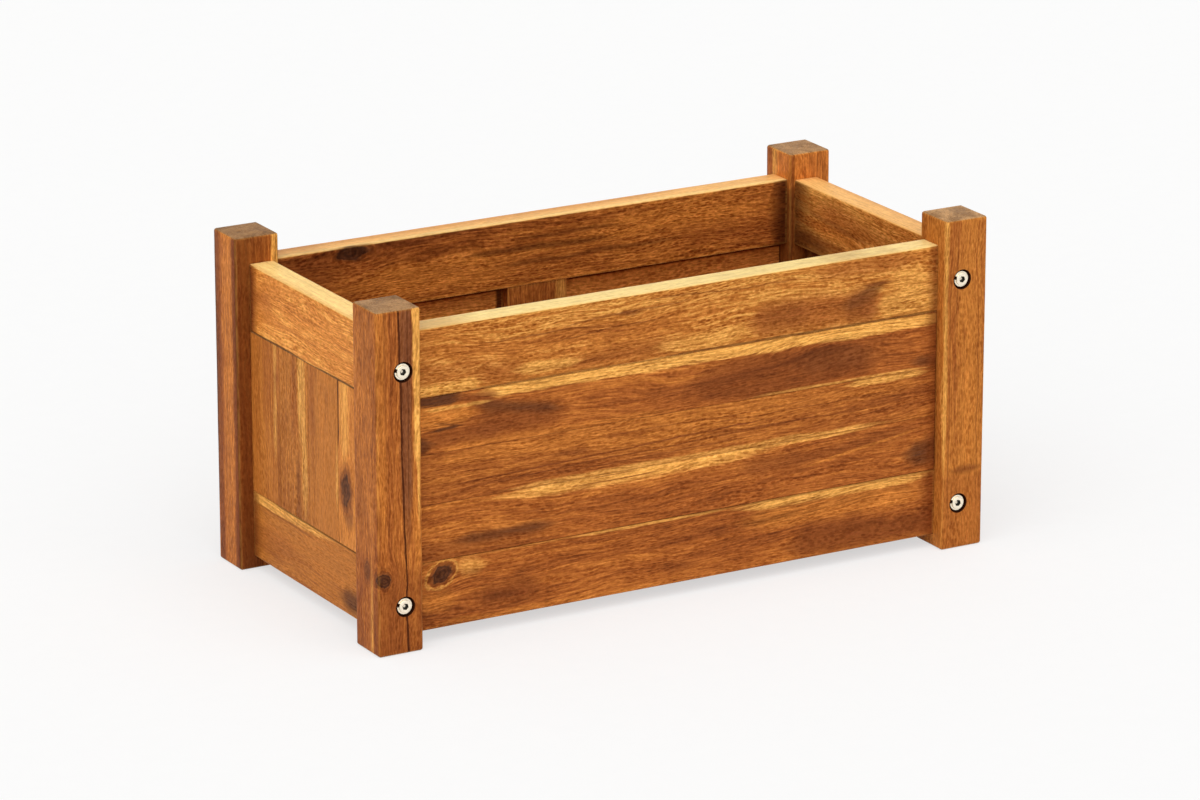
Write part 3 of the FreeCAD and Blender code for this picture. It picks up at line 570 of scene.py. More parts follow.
def section_outline(size, radii, spacing=5.0 * MM, arc_steps=5):
    """Rounded rectangle round the origin, counter-clockwise, as points and outward normals.

    A corner is the quarter circle centre + radius (cos t, sin t) with a radius of its own, in the
    order lower right, upper right, upper left, lower left. A side between two corners is a straight
    run of points about one spacing apart.
    """
    half = np.asarray(size) / 2
    signs = np.array([(1, -1), (1, 1), (-1, 1), (-1, -1)])
    centres = signs * (half - np.asarray(radii)[:, None])
    turns = np.radians([-90, 0, 90, 180])[:, None] + np.linspace(0, math.pi / 2, arc_steps + 1)
    facing = np.stack([np.cos(turns), np.sin(turns)], -1)
    arcs = centres[:, None] + np.asarray(radii)[:, None, None] * facing
    points, normals = [], []
    for i in range(4):
        start, stop = arcs[i, -1], arcs[(i + 1) % 4, 0]
        count = max(2, int(np.linalg.norm(stop - start) / spacing) + 1)
        share = np.linspace(0, 1, count + 1)[1:-1, None]
        points += [arcs[i], start + share * (stop - start)]
        normals += [facing[i], np.repeat(facing[i, -1:], count - 1, axis=0)]
    return np.concatenate(points), np.concatenate(normals)


def tube_faces(rings, points):
    """Quads between neighbouring rings of points, closed round the ring."""
    r = np.arange(rings - 1)[:, None] * points
    p = np.arange(points)[None]
    q = (p + 1) % points
    return np.stack([r + p, r + q, r + points + q, r + points + p], -1).reshape(-1, 4)


STATION_GAP = 8 * MM
EASE_STEPS = 5
# Length in metres, and turns round the board, of each wave that sanding leaves
SANDING_WAVES = ((0.21, 1), (0.097, 2), (0.055, 3), (0.031, 1))


def eased_board(lo, hi, axis, radii, end_edge, waviness, seed, flat_edges=False):
    """Board as a rounded section carried along one axis, as vertices and faces.

    At distance s from an end the section shrinks by e - sqrt(e^2 - (e - s)^2), a quarter circle of
    radius e, so the ends are eased as the edges are. Long sine waves along and round the board press
    the surface in by at most the waviness, as sanding does, on a stave only that of its two broad faces.
    Each end is closed by one flat face.
    """
    order = [(axis + 1) % 3, (axis + 2) % 3, axis]
    centre, size = ((lo + hi) / 2)[order], (hi - lo)[order]
    outline, normals = section_outline(size[:2], radii)
    length = size[2]
    turn = np.linspace(0, math.pi / 2, EASE_STEPS)
    near = end_edge * (1 - np.cos(turn))
    body = np.linspace(end_edge, length - end_edge, max(3, int(length / STATION_GAP)))[1:-1]
    stations = np.concatenate([near, body, length - near[::-1]])
    inset = np.zeros(len(stations))
    inset[:EASE_STEPS] = end_edge * (1 - np.sin(turn))
    inset[-EASE_STEPS:] = inset[:EASE_STEPS][::-1]
    phases = np.random.default_rng(seed).uniform(0, 2 * math.pi, (len(SANDING_WAVES), 2)).sum(1)
    around = np.arctan2(outline[:, 1], outline[:, 0])
    s = stations[:, None]
    waves = sum(np.sin(2 * math.pi * s / pitch + turns * around + phase)
                for (pitch, turns), phase in zip(SANDING_WAVES, phases))
    waves = np.clip(waves / (2 * len(SANDING_WAVES)) + 0.5, 0, 1)
    broad = normals[:, 0] ** 2 if flat_edges else 1.0
    press = inset[:, None] + waviness * broad * waves
    grid = np.empty((len(stations), len(outline), 3))
    grid[..., :2] = outline - press[..., None] * normals
    grid[..., 2] = s - length / 2
    vertices = np.empty_like(grid)
    vertices[..., order] = grid + centre
    rings, points = grid.shape[:2]
    faces = tube_faces(rings, points).tolist()
    faces.append(list(range(points))[::-1])
    faces.append(list(range((rings - 1) * points, rings * points)))
    return vertices.reshape(-1, 3), faces


def turned_shape(radius, height, count=64):
    """Closed shape turned round the Z axis from a list of radii and heights.

    Row i is the circle (r_i cos t, r_i sin t, h_i); r_i may differ along the circle. The first and last
    rows are single points on the axis.
    """
    t = np.linspace(0, 2 * math.pi, count, endpoint=False)
    radius = np.stack([np.broadcast_to(r, count) for r in radius])
    height = np.asarray(height)
    rows = np.stack([radius * np.cos(t), radius * np.sin(t), np.repeat(height[:, None], count, 1)], -1)
    inner = rows[1:-1].reshape(-1, 3)
    vertices = np.concatenate([inner, rows[:1, 0], rows[-1:, 0]])
    p = np.arange(count)
    q = (p + 1) % count
    last = len(inner) - count
    faces = tube_faces(len(height) - 2, count).tolist()
    faces += np.stack([np.full(count, len(inner)), q, p], -1).tolist()
    faces += np.stack([np.full(count, len(inner) + 1), last + p, last + q], -1).tolist()
    return vertices, faces


def bolt_places(side, end):
    """Where a post's two bolts pass its outer face: x, y, z and the way out, -1 in front and 1 behind."""
    lo, hi = corners(f"post_{side}_{end}")
    face, out = (lo[1], -1) if side == "front" else (hi[1], 1)
    for place in ("top", "bottom"):
        x, _, z = sum(corners(f"{end}_{place}_rail")) / 2
        yield x, face, z, out


def all_bolts():
    """The places of the bolts in all posts."""
    return [place for post in POSTS for place in bolt_places(*post)]


def set_out(shape, places, lift=0.0):
    """Copies of a shape made along +Z, set on the posts' outer faces so that they point out of the bed.

    A point (a, b, c) goes to (x - out a, y + out (c + lift), z + b). That turn keeps the shape's right
    hand, so its faces still point outwards.
    """
    vertices, faces = shape
    a, b, c = vertices.T
    copies = [np.stack([x - out * a, y + out * (c + lift), z + b], -1) for x, y, z, out in places]
    firsts = range(0, len(copies) * len(vertices), len(vertices))
    return np.concatenate(copies), [[first + i for i in face] for first in firsts for face in faces]


SHARP = math.radians(40)


def linked(name, data):
    """A new object in the open scene."""
    thing = bpy.data.objects.new(name, data)
    bpy.context.scene.collection.objects.link(thing)
    return thing


def array_mesh(name, vertices, faces, materials):
    """A mesh from arrays."""
    mesh = bpy.data.meshes.new(name)
    mesh.from_pydata(vertices, [], faces)
    for material in materials:
        mesh.materials.append(material)
    return mesh


def smoothed(mesh):
    """Smooth shading that breaks at sharp edges."""
    mesh.shade_smooth()
    mesh.set_sharp_from_angle(angle=SHARP)


def make_piece(name, vertices, faces, materials, replaced, slot):
    """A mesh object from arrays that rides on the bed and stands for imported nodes."""
    mesh = array_mesh(name, vertices, faces, materials)
    mesh.update()
    smoothed(mesh)
    piece = linked(name, mesh)
    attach(piece, "root")
    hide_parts(*replaced)
    return piece


def cut_away(piece, vertices, faces, material):
    """Takes a closed shape out of a piece, gives the cut the material and keeps the piece's sharp edges."""
    mesh = array_mesh("bore_tool", vertices, faces, [material])
    tool = linked("bore_tool", mesh)
    cut = piece.modifiers.new("bores", "BOOLEAN")
    cut.operation = "DIFFERENCE"
    cut.solver = "EXACT"
    cut.material_mode = "TRANSFER"
    cut.object = tool
    graph = bpy.context.evaluated_depsgraph_get()
    result = bpy.data.meshes.new_from_object(piece.evaluated_get(graph))
    piece.modifiers.clear()
    spare, piece.data = piece.data, result
    result.name = piece.name
    bpy.data.objects.remove(tool)
    for used in (spare, mesh):
        bpy.data.meshes.remove(used)
    smoothed(result)


class Value:
    """A node's output. Sums with it add Math nodes to its tree."""

    def __init__(self, wiring, socket):
        self.wiring = wiring
        self.socket = socket

    def __add__(self, other):
        return self.wiring.math("ADD", self, other)

    def __sub__(self, other):
        return self.wiring.math("SUBTRACT", self, other)

    def __rsub__(self, other):
        return self.wiring.math("SUBTRACT", other, self)

    def __mul__(self, other):
        return self.wiring.math("MULTIPLY", self, other)

    def __truediv__(self, other):
        return self.wiring.math("DIVIDE", self, other)

    __radd__ = __add__

    def scaled(self, by, plus):
        """This times one value plus another, in one node."""
        return self.wiring.math("MULTIPLY_ADD", self, by, plus)


class Wiring:
    """Adds nodes to one tree. A socket takes a number, a colour or another node's output."""

    def __init__(self, tree):
        self.tree = tree

    def add(self, kind, inputs=(), output=0, **choices):
        """A new node with its choices and inputs set; gives one output, or all by name for None."""
        node = self.tree.nodes.new(kind)
        for key, value in choices.items():
            setattr(node, key, value)
        for key, value in dict(inputs).items():
            if isinstance(value, Value):
                self.tree.links.new(value.socket, node.inputs[key])
            else:
                node.inputs[key].default_value = value
        if output is None:
            return {socket.name: Value(self, socket) for socket in node.outputs if socket.name}
        return Value(self, node.outputs[output])

    def math(self, operation, *values, clamp=False):
        return self.add("ShaderNodeMath", enumerate(values), operation=operation, use_clamp=clamp)

    def vector(self, operation, *values, output=0):
        return self.add("ShaderNodeVectorMath", enumerate(values), output, operation=operation)

    def combine(self, *parts):
        return self.add("ShaderNodeCombineXYZ", enumerate(parts))

    def split(self, vector):
        return tuple(self.add("ShaderNodeSeparateXYZ", {0: vector}, None).values())

    def place(self, *scale):
        """Object coordinates times one scale for all axes or one for each."""
        scale = scale if len(scale) == 3 else scale * 3
        return self.add("ShaderNodeMapping", {
            "Vector": self.add("ShaderNodeTexCoord", output="Object"), "Scale": scale})

    def step(self, value, low, high, to_low=0.0, to_high=1.0):
        """Smooth change from to_low at low to to_high at high."""
        return self.add("ShaderNodeMapRange", {0: value, 1: low, 2: high, 3: to_low, 4: to_high},
                        interpolation_type="SMOOTHSTEP")

    def fall(self, value, low, high):
        """Smooth change from one at low to nought at high."""
        return self.step(value, low, high, 1.0, 0.0)

    def noise(self, vector, detail=2.0, roughness=0.5):
        return self.add("ShaderNodeTexNoise", {"Vector": vector, "Scale": 1.0, "Detail": detail,
                                               "Roughness": roughness})

    def line_noise(self, value):
        return self.add("ShaderNodeTexNoise", {"W": value, "Scale": 1.0, "Detail": 2.0},
                        noise_dimensions="1D")

    def mix(self, share, first, second, blend="MIX"):
        return self.add("ShaderNodeMix", {0: share, 6: first, 7: second}, 2, data_type="RGBA",
                        blend_type=blend)

    def ramp(self, value, *stops):
        """Colours at rising places of a value."""
        node = self.tree.nodes.new("ShaderNodeValToRGB")
        self.tree.links.new(value.socket, node.inputs[0])
        elements = node.color_ramp.elements
        for place, _ in stops[2:]:
            elements.new(place)
        for element, (place, colour) in zip(elements, stops):
            element.position = place
            element.color = colour
        return Value(self, node.outputs[0])

    def shades(self, value, colour, low, high):
        """A colour, darkened to its low share and lightened to its high share by the value."""
        return self.ramp(value, (0.1, shaded(colour, low)), (0.5, tuple(colour)), (0.9, shaded(colour, high)))

    def group(self, build, **inputs):
        """A node that stands for the group which the build function wires; gives its outputs by name."""
        return self.add("ShaderNodeGroup", inputs, None, node_tree=node_group(build))

    def cover(self, inputs, height, strength, depth):
        """Ends a material with one shader whose relief comes from the height."""
        relief = self.add("ShaderNodeBump", {"Strength": strength, "Distance": depth, "Height": height})
        shader = self.add("ShaderNodeBsdfPrincipled", {**inputs, "Normal": relief})
        self.end(shader)

    def end(self, shader, kind="Material"):
        """Gives the shader to the tree's output."""
        output = self.tree.nodes.new(f"ShaderNodeOutput{kind}")
        self.tree.links.new(shader.socket, output.inputs["Surface"])


def node_group(build):
    """The shader group that a function wires, made by its first use.

    The function gets the wiring and one value for each of its other arguments, which become the
    group's inputs, and returns the outputs by name. All are plain numbers.
    """
    name = build.__name__
    if name in bpy.data.node_groups:
        return bpy.data.node_groups[name]
    tree = bpy.data.node_groups.new(name, "ShaderNodeTree")
    w = Wiring(tree)
    for given in list(inspect.signature(build).parameters)[1:]:
        tree.interface.new_socket(name=given, in_out="INPUT", socket_type="NodeSocketFloat")
    results = build(w, **w.add("NodeGroupInput", output=None))
    for result in results:
        tree.interface.new_socket(name=result, in_out="OUTPUT", socket_type="NodeSocketFloat")
    ending = tree.nodes.new("NodeGroupOutput").inputs
    for result, value in results.items():
        tree.links.new(value.socket, ending[result])
    return tree


def streak_mask(w, along, across, centre, half, start, end, slope, wander, fade, soft, seed):
    """Band round the line centre + slope u + wander noise(u), narrowing to nothing at both ends."""
    slow = w.line_noise(along.scaled(0.017, seed))
    quick = w.line_noise(along.scaled(0.09, seed))
    sway = (slow - 0.5) + (quick - 0.5) * 0.35
    line = along.scaled(slope, centre) + sway * 3.0 * wander
    shown = w.step(along, start - fade, start + fade) * w.fall(along, end - fade, end + fade)
    reach = w.math("MAXIMUM", half * slow.scaled(0.9, 0.55) * shown, 0.02)
    off = w.math("ABSOLUTE", across - line) / reach
    return {"mask": w.fall(off, 1.0 - soft, 1.0 + soft) * shown}


def knot_figure(w, along, across, deep, length, width, depth, turn, seed):
    """Knot round the middle of its own coordinates: heart, halo, pale rim, rings and push on the grain.

    Reach is the distance from the middle in half sizes, plus a noise. Heart, halo and rim are steps of it
    and the rings its sine. The push -0.72 across exp(-0.35 reach^2) leads the grain round the knot.
    """
    cosine, sine = w.math("COSINE", turn), w.math("SINE", turn)
    place = w.combine((along * cosine + across * sine) / length, (across * cosine - along * sine) / width,
                      deep / depth)
    wobble = w.noise(w.vector("ADD", w.vector("MULTIPLY", place, (1.3, 1.3, 1.3)), w.combine(seed, 0.0, 0.0)),
                     3.0, 0.6)
    reach = w.vector("LENGTH", place, output="Value") + (wobble - 0.5) * 1.1
    bend = w.math("EXPONENT", reach * reach * -0.35)
    return {
        "core": w.fall(reach, 0.65, 1.08),
        "halo": w.fall(reach, 0.95, 1.7),
        "rim": w.step(reach, 1.1, 1.25) * w.fall(reach, 1.28, 1.5),
        "rings": w.math("SINE", reach * 17.0).scaled(0.5, 0.5),
        "push": across * bend * -0.72,
    }


def grain_figure(w, along, across, deep, pith_across, pith_deep, drift, ring_width, pore_length, pore_width,
                 seed):
    """Figure of the wood from the distance to the tree's middle and from noises drawn out along the grain.

    Ring distance = length of (across + wander noise - pith - drift u, deep - pith). Tone sums a broad and a
    narrow noise over that distance, fibres, and a faint cross ripple; pores are cells drawn out along
    the grain whose middles are dark, and fine hairs.
    """
    u = seed.scaled(173.0, along)
    raw = w.combine(u, across, deep)

    def drawn(vector, length, width, detail, roughness=0.5):
        """Noise whose patches are about so long and so wide, in millimetres."""
        return w.noise(w.vector("MULTIPLY", vector, (1 / length, 1 / width, 1 / width)), detail, roughness)

    bow = drawn(raw, 190.0, 48.0, 2.0) - 0.5
    curl = drawn(raw, 42.0, 13.0, 2.0) - 0.5
    shifted = across + (bow * 26.0 + curl * 3.2)
    bent = w.combine(u, shifted, deep)
    from_pith = w.combine(shifted - pith_across - along * drift, deep - pith_deep, 0.0)
    ring = w.vector("LENGTH", from_pith, output="Value") / ring_width
    narrow = w.noise(w.combine(ring, u / 260.0, 0.0), 3.0, 0.62)
    broad = w.noise(w.combine(ring * 0.2, u / 330.0, 7.0))
    fibre = drawn(bent, 20.0, 1.3, 3.0, 0.62)
    ripple = drawn(raw, 7.0, 13.0, 2.0, 0.6)
    cell = w.add("ShaderNodeTexVoronoi", {
        "Vector": w.combine(u / pore_length, shifted / pore_width, deep / pore_width), "Scale": 1.0})
    crowd = w.step(drawn(bent, 60.0, 6.5, 2.0), 0.38, 0.64, 0.5, 1.0)
    hairs = w.step(drawn(bent, 34.0, 0.8, 2.0, 0.6), 0.56, 0.68) * (crowd * 0.7)
    dashes = w.fall(cell, 0.28, 0.55) * crowd
    tone = (broad - 0.5) * 1.25 + 0.5
    for part, strength in ((narrow, 0.8), (fibre, 1.2), (ripple, 0.18)):
        tone = tone + (part - 0.5) * strength
    return {"tone": tone, "pores": w.math("MAXIMUM", dashes, hairs), "fibre": fibre,
            "grit": drawn(bent, 3.4, 1.2, 3.0, 0.6), "ripple": ripple, "rings": narrow}


def shaded(colour, shade):
    """A colour made lighter or darker, kept between black and white."""
    return (*[min(1.0, max(0.0, c * shade)) for c in colour[:3]], 1.0)


def new_material(name):
    """An empty material and the wiring of its nodes."""
    material = bpy.data.materials.new(name)
    material.use_nodes = True
    material.node_tree.nodes.clear()
    return material, Wiring(material.node_tree)


# Share of each colour that a pore takes away, and how strongly fine light and dark change each colour
PORE_TINT = {"Red": 0.36, "Green": 0.47, "Blue": 0.58}
LIGHT_POWERS = (0.85, 1.0, 1.5)
# Darkest and lightest shade of a streak's tone, under the painted top light and elsewhere
PLANED_SHADES = (0.86, 1.08)
STREAK_SHADES = (0.66, 1.2)
END_SHADES = (0.62, 1.3)
# Strength of fibres, grit and patches in the fine light and dark, and what makes up for the pores
FIBRE_SWING, GRIT_SWING, PATCH_SWING = 0.95, 1.4, 0.16
FINE_LIGHT, PATCH_LIGHT = 1.03, 1.06
# Share of the fine grain that the painted top light takes away
PLANED_CALM = 0.85
# Millimetres from an edge, inwards below nought, between which oil in a seam, or rubbing with a painted
# highlight, sets in
SEAM_REACH = (-0.75, -0.15)
RUBBED_REACH = (-2.2, -0.5)


def hardwood_material(name, look, axes, lo, hi, seed, seam=False):
    """Oiled hardwood for one board.

    The grain figure picks a colour between the look's three tones. Streaks and knots lie over it where the
    look puts them, some streaks being painted shade or painted highlight, pores and fine fibres darken it,
    free edges are rubbed paler and carry a painted highlight, edges along a seam hold dark oil, and sawn ends
    turn dull. The same figure drives the roughness and a slight relief.
    """
    wood = settings().wood
    material, w = new_material(name)
    place = w.place(1 / MM)
    position = w.split(place)
    outward = w.add("ShaderNodeNewGeometry", output="Normal")
    facing = w.split(w.vector("ABSOLUTE", outward))
    along, across, deep = (position[axis] for axis in axes)
    middle = ((lo + hi) / 2 / MM).tolist()
    half = ((hi - lo) / 2 / MM).tolist()

    knots = []
    bent = across
    for k, knot in enumerate(look.knots):
        figure = w.group(
            knot_figure, along=along - knot.along, across=across - knot.across, deep=deep - knot.deep,
            length=knot.length, width=knot.width, depth=knot.depth, turn=math.radians(knot.turn),
            seed=seed + 3.7 * k)
        bent = bent + figure["push"]
        knots.append((knot, figure))

    grain = w.group(
        grain_figure, along=along, across=bent, deep=deep, pith_across=middle[axes[1]] + look.pith[0],
        pith_deep=middle[axes[2]] + look.pith[1], drift=look.drift, ring_width=wood.ring_width / MM,
        pore_length=wood.pore_length / MM, pore_width=wood.pore_width / MM, seed=seed)
    tone, fibre = grain["tone"], grain["fibre"]
    uneven, patches, grit = fibre - 0.5, grain["ripple"] - 0.5, grain["grit"] - 0.5

    colour = w.ramp(tone, *zip((0.12, 0.5, 0.9), (
        shaded(getattr(wood, shade), look.shade) for shade in TONES[look.tone])))
    ragged, smooth = uneven.scaled(1.6, 1.0), uneven.scaled(0.5, 1.0)
    calm = None
    for k, streak in enumerate(look.streaks):
        shape = streak._asdict()
        kind, strength, face = (shape.pop(key) for key in ("tone", "strength", "face"))
        side = "xyz".find(face[-1:])
        crosswise = deep if face and side == axes[1] else bent
        crosswise = crosswise + uneven * (4.5 * min(1.0, streak.half / 4))
        mask = w.group(streak_mask, along=along, across=crosswise, seed=seed * 1.7 + 5.3 * k, **shape)["mask"]
        planed = kind in PLANED
        mask = w.math("MULTIPLY", mask, (smooth if planed else ragged) * strength, clamp=True)
        if face:
            turned = w.split(outward)[side] * -1.0 if face.startswith("-") else facing[side]
            mask = mask * w.step(turned, 0.35, 0.75)
        tint = w.shades(tone, shaded(getattr(wood, kind), look.shade),
                        *(PLANED_SHADES if planed else STREAK_SHADES))
        colour = w.mix(mask, colour, tint)
        # Under the painted top light the fine grain is calmed
        if planed and calm is None:
            calm = mask.scaled(-PLANED_CALM, 1.0)

    pores = grain["pores"] * look.speckle
    swing = uneven * (FIBRE_SWING * look.speckle)
    grit = grit * (GRIT_SWING * look.speckle)
    if calm is not None:
        pores, swing, grit = pores * calm, swing * calm, grit * calm
    for knot, figure in knots:
        ringed = w.mix(figure["rings"], shaded(wood.dark, 0.9), shaded(wood.heart, 0.95))
        heart = w.mix(figure["rings"] * 0.5, shaded(wood.knot, 0.9), shaded(wood.plum, 0.7))
        rim = w.math("MULTIPLY", figure["rim"], ragged * knot.rim, clamp=True)
        colour = w.mix(figure["halo"] * knot.halo, colour, ringed)
        colour = w.mix(rim, colour, shaded(wood.sap, look.shade))
        colour = w.mix(figure["core"] * knot.core, colour, heart)

    dark = w.add("ShaderNodeCombineColor", {part: 1.0 - pores * share for part, share in PORE_TINT.items()})
    lift = patches.scaled(PATCH_SWING, PATCH_LIGHT) * (swing + FINE_LIGHT) * (grit + FINE_LIGHT)
    light = w.combine(*(w.math("POWER", lift, power) for power in LIGHT_POWERS))
    for part in (dark, light):
        colour = w.mix(1.0, colour, part, "MULTIPLY")

    # On a face, the second largest of the three is minus the distance to the nearest edge
    x, y, z = w.split(w.vector("SUBTRACT", w.vector("ABSOLUTE", w.vector("SUBTRACT", place, middle)), half))
    edge = w.math("MAXIMUM", w.math("MINIMUM", x, y), w.math("MINIMUM", w.math("MAXIMUM", x, y), z))
    if seam:
        colour = w.mix(w.step(edge, *SEAM_REACH, 0.0, 0.28), colour, shaded(wood.deep, 0.6))
    else:
        # Paler free edges: partly rubbed wear, partly a painted highlight
        rubbed = w.step(edge, *RUBBED_REACH) * w.step(fibre, 0.3, 0.7, 0.02, 0.32)
        colour = w.mix(rubbed, colour, shaded(wood.sap, 0.9))

    sawn = w.step(facing[axes[0]], 0.55, 0.85)
    dull = w.shades(patches.scaled(2.2, tone), shaded(wood.end, look.end), *END_SHADES)
    dull = w.mix(pores * 0.5, dull, shaded(wood.dark, 0.8))
    colour = w.mix(sawn * 0.85, colour, dull)

    rough = sawn.scaled(0.14, pores.scaled(0.18, 0.40) + uneven * 0.25)
    height = grain["rings"].scaled(0.35, fibre * 0.5 - pores * 0.8)
    w.cover({"Base Color": colour, "Roughness": rough, "Specular IOR Level": wood.oil_gloss},
            height, 0.35, 0.35 * MM)
    return material


def bored_material(name, wood):
    """Wood inside a sink and bore, painted near black as the shade inside them, streaked by the drill in
    rings about the bed's width.
    """
    material, w = new_material(name)
    rings = w.noise(w.place(900.0, 2600.0, 900.0), 3.0, 0.6)
    colour = w.ramp(rings, (0.3, shaded(wood.deep, 0.25)), (0.7, shaded(wood.deep, 0.7)))
    w.cover({"Base Color": colour, "Roughness": 0.8, "Specular IOR Level": 0.05}, rings, 0.3, 0.2 * MM)
    return material


def plated_material(name, colour, roughness, wear):
    """Plated metal: cloudy crystal patches, fine turning scratches and small dark specks, in three noises."""
    material, w = new_material(name)
    clouds = w.noise(w.place(800.0), 3.0)
    grit = w.noise(w.place(5000.0), 3.0, 0.7)
    scratch = w.noise(w.place(9000.0, 700.0, 1100.0))
    specks = w.step(grit, 0.62, 0.74, 0.0, wear)
    tint = w.ramp(clouds, (0.3, shaded(colour, 0.86)), (0.55, tuple(colour)), (0.75, shaded(colour, 1.06)))
    tint = w.mix(specks, tint, shaded(colour, 0.3))
    rough = specks.scaled(0.3, (clouds - 0.5).scaled(0.3, roughness))
    w.cover({"Base Color": tint, "Roughness": rough, "Metallic": 0.85},
            scratch * 0.5 + grit * 0.4, 0.25, 0.06 * MM)
    return material


def make_board(node, box, axes, edge, slot, tones=(), seam=False, radii=None):
    """One eased board with its own hardwood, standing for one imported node.

    Its ends are eased by the edge, and so are its long edges, unless they have radii of their own.
    """
    lo, hi = box
    look = LOOKS.get(node) or plain_look(node, tones, lo, hi, axes)
    seed = letter_sum(node) % 97
    waviness = settings().boards.waviness
    shape = eased_board(lo, hi, axes[0], radii or [edge] * 4, edge, waviness, seed, seam)
    material = hardwood_material(node + "_wood", look, axes, lo, hi, 0.37 + seed * 0.61, seam)
    return make_piece(node + "_board", *shape, [material], [node], slot)


def closed_staves(nodes, across):
    """Names and corners of a panel's staves, each widened to meet its neighbours halfway."""
    staves = sorted(((node, *corners(node)) for node in nodes), key=lambda stave: stave[1][across])
    for (_, _, below), (_, above, _) in zip(staves, staves[1:]):
        below[across] = above[across] = (below[across] + above[across]) / 2
    return staves


class GARDENBED_OT_posts(Operator):
    """Make the four corner posts with a sink and bore for each bolt"""

    bl_idname = "garden_bed.posts"
    bl_label = "Posts"

    def execute(self, context):
        bolts = settings().bolts
        edge = settings().boards.post_edge
        # The sinks and bores take painted shade
        bored = bored_material("post_bore_wood", settings().wood)
        bore, wall = bolts.bore_diameter / 2, bolts.sink_diameter / 2
        lip, spare = 0.35 * MM, 1 * MM
        for side, end in POSTS:
            node = f"post_{side}_{end}"
            lo, hi = corners(node)
            post = make_board(node, (lo, hi), UPRIGHT, edge, "post_wood")
            through = lo[1] - hi[1] - spare
            tool = turned_shape(
                [0, bore, bore, wall, wall, wall + lip, wall + lip, 0],
                [through, through, -bolts.sink_depth, -bolts.sink_depth, -lip, 0.0, spare, spare])
            cut_away(post, *set_out(tool, bolt_places(side, end)), bored)
        return {"FINISHED"}


class GARDENBED_OT_rails(Operator):
    """Make the eight rails, rounded on the edges that are free"""

    bl_idname = "garden_bed.rails"
    bl_label = "Rails"

    def execute(self, context):
        free, joint = settings().boards.rail_edge, settings().boards.joint_edge
        for place, upper, lower in (("top", free, joint), ("bottom", joint, free)):
            for names, axes, radii, tones in (
                    (SIDES, LONG_BOARD, [lower, upper, upper, lower], LONG_TONES),
                    (ENDS, END_BOARD, [upper, upper, lower, lower], END_TONES)):
                for name in names:
                    node = f"{name}_{place}_rail"
                    make_board(node, corners(node), axes, joint, "rail_wood", tones, radii=radii)
        return {"FINISHED"}


class GARDENBED_OT_long_panels(Operator):
    """Make the lengthwise staves of the two long sides, as far as they show between rails and posts"""

    bl_idname = "garden_bed.long_panels"
    bl_label = "Long panels"

    def execute(self, context):
        gap, edge = settings().boards.shoulder_gap, settings().boards.stave_edge
        for side in SIDES:
            low, high = corners(f"{side}_bottom_rail"), corners(f"{side}_top_rail")
            for node, lo, hi in closed_staves([f"{side}_stave_{course}" for course in COURSES], 2):
                lo[0], hi[0] = low[0][0] + gap, low[1][0] - gap
                lo[2], hi[2] = max(lo[2], low[1][2] + gap), min(hi[2], high[0][2] - gap)
                make_board(node, (lo, hi), LONG_BOARD, edge, "panel_wood", LONG_TONES, seam=True)
        return {"FINISHED"}


class GARDENBED_OT_end_panels(Operator):
    """Make the upright staves of the two ends, as far as they show between rails and posts"""

    bl_idname = "garden_bed.end_panels"
    bl_label = "End panels"

    def execute(self, context):
        gap, edge = settings().boards.shoulder_gap, settings().boards.stave_edge
        for end in ENDS:
            low, high = corners(f"{end}_bottom_rail"), corners(f"{end}_top_rail")
            staves = closed_staves([f"{end}_stave_{count}" for count in range(1, 5)], 1)
            staves[0][1][1], staves[-1][2][1] = low[0][1], low[1][1]
            for node, lo, hi in staves:
                lo[2], hi[2] = low[1][2] + gap, high[0][2] - gap
                make_board(node, (lo, hi), END_UPRIGHT, edge, "panel_wood", END_TONES, seam=True)
        return {"FINISHED"}


class GARDENBED_OT_battens(Operator):
    """Make the upright batten inside each long side"""

    bl_idname = "garden_bed.battens"
    bl_label = "Battens"

    def execute(self, context):
        edge = settings().boards.joint_edge
        for side in SIDES:
            node = f"{side}_batten"
            make_board(node, corners(node), UPRIGHT, edge, "panel_wood", LONG_TONES)
        return {"FINISHED"}


class GARDENBED_OT_floor_boards(Operator):
    """Make the two bearers and the slats that lie on them"""

    bl_idname = "garden_bed.floor_boards"
    bl_label = "Floor boards"

    def execute(self, context):
        edge = settings().boards.floor_edge
        boards = [(f"{side}_bearer", LONG_BOARD, END_TONES) for side in SIDES]
        boards += [(f"floor_slat_{count}", SLAT, SLAT_TONES) for count in range(1, 9)]
        for node, axes, tones in boards:
            make_board(node, corners(node), axes, edge, "floor_wood", tones)
        return {"FINISHED"}


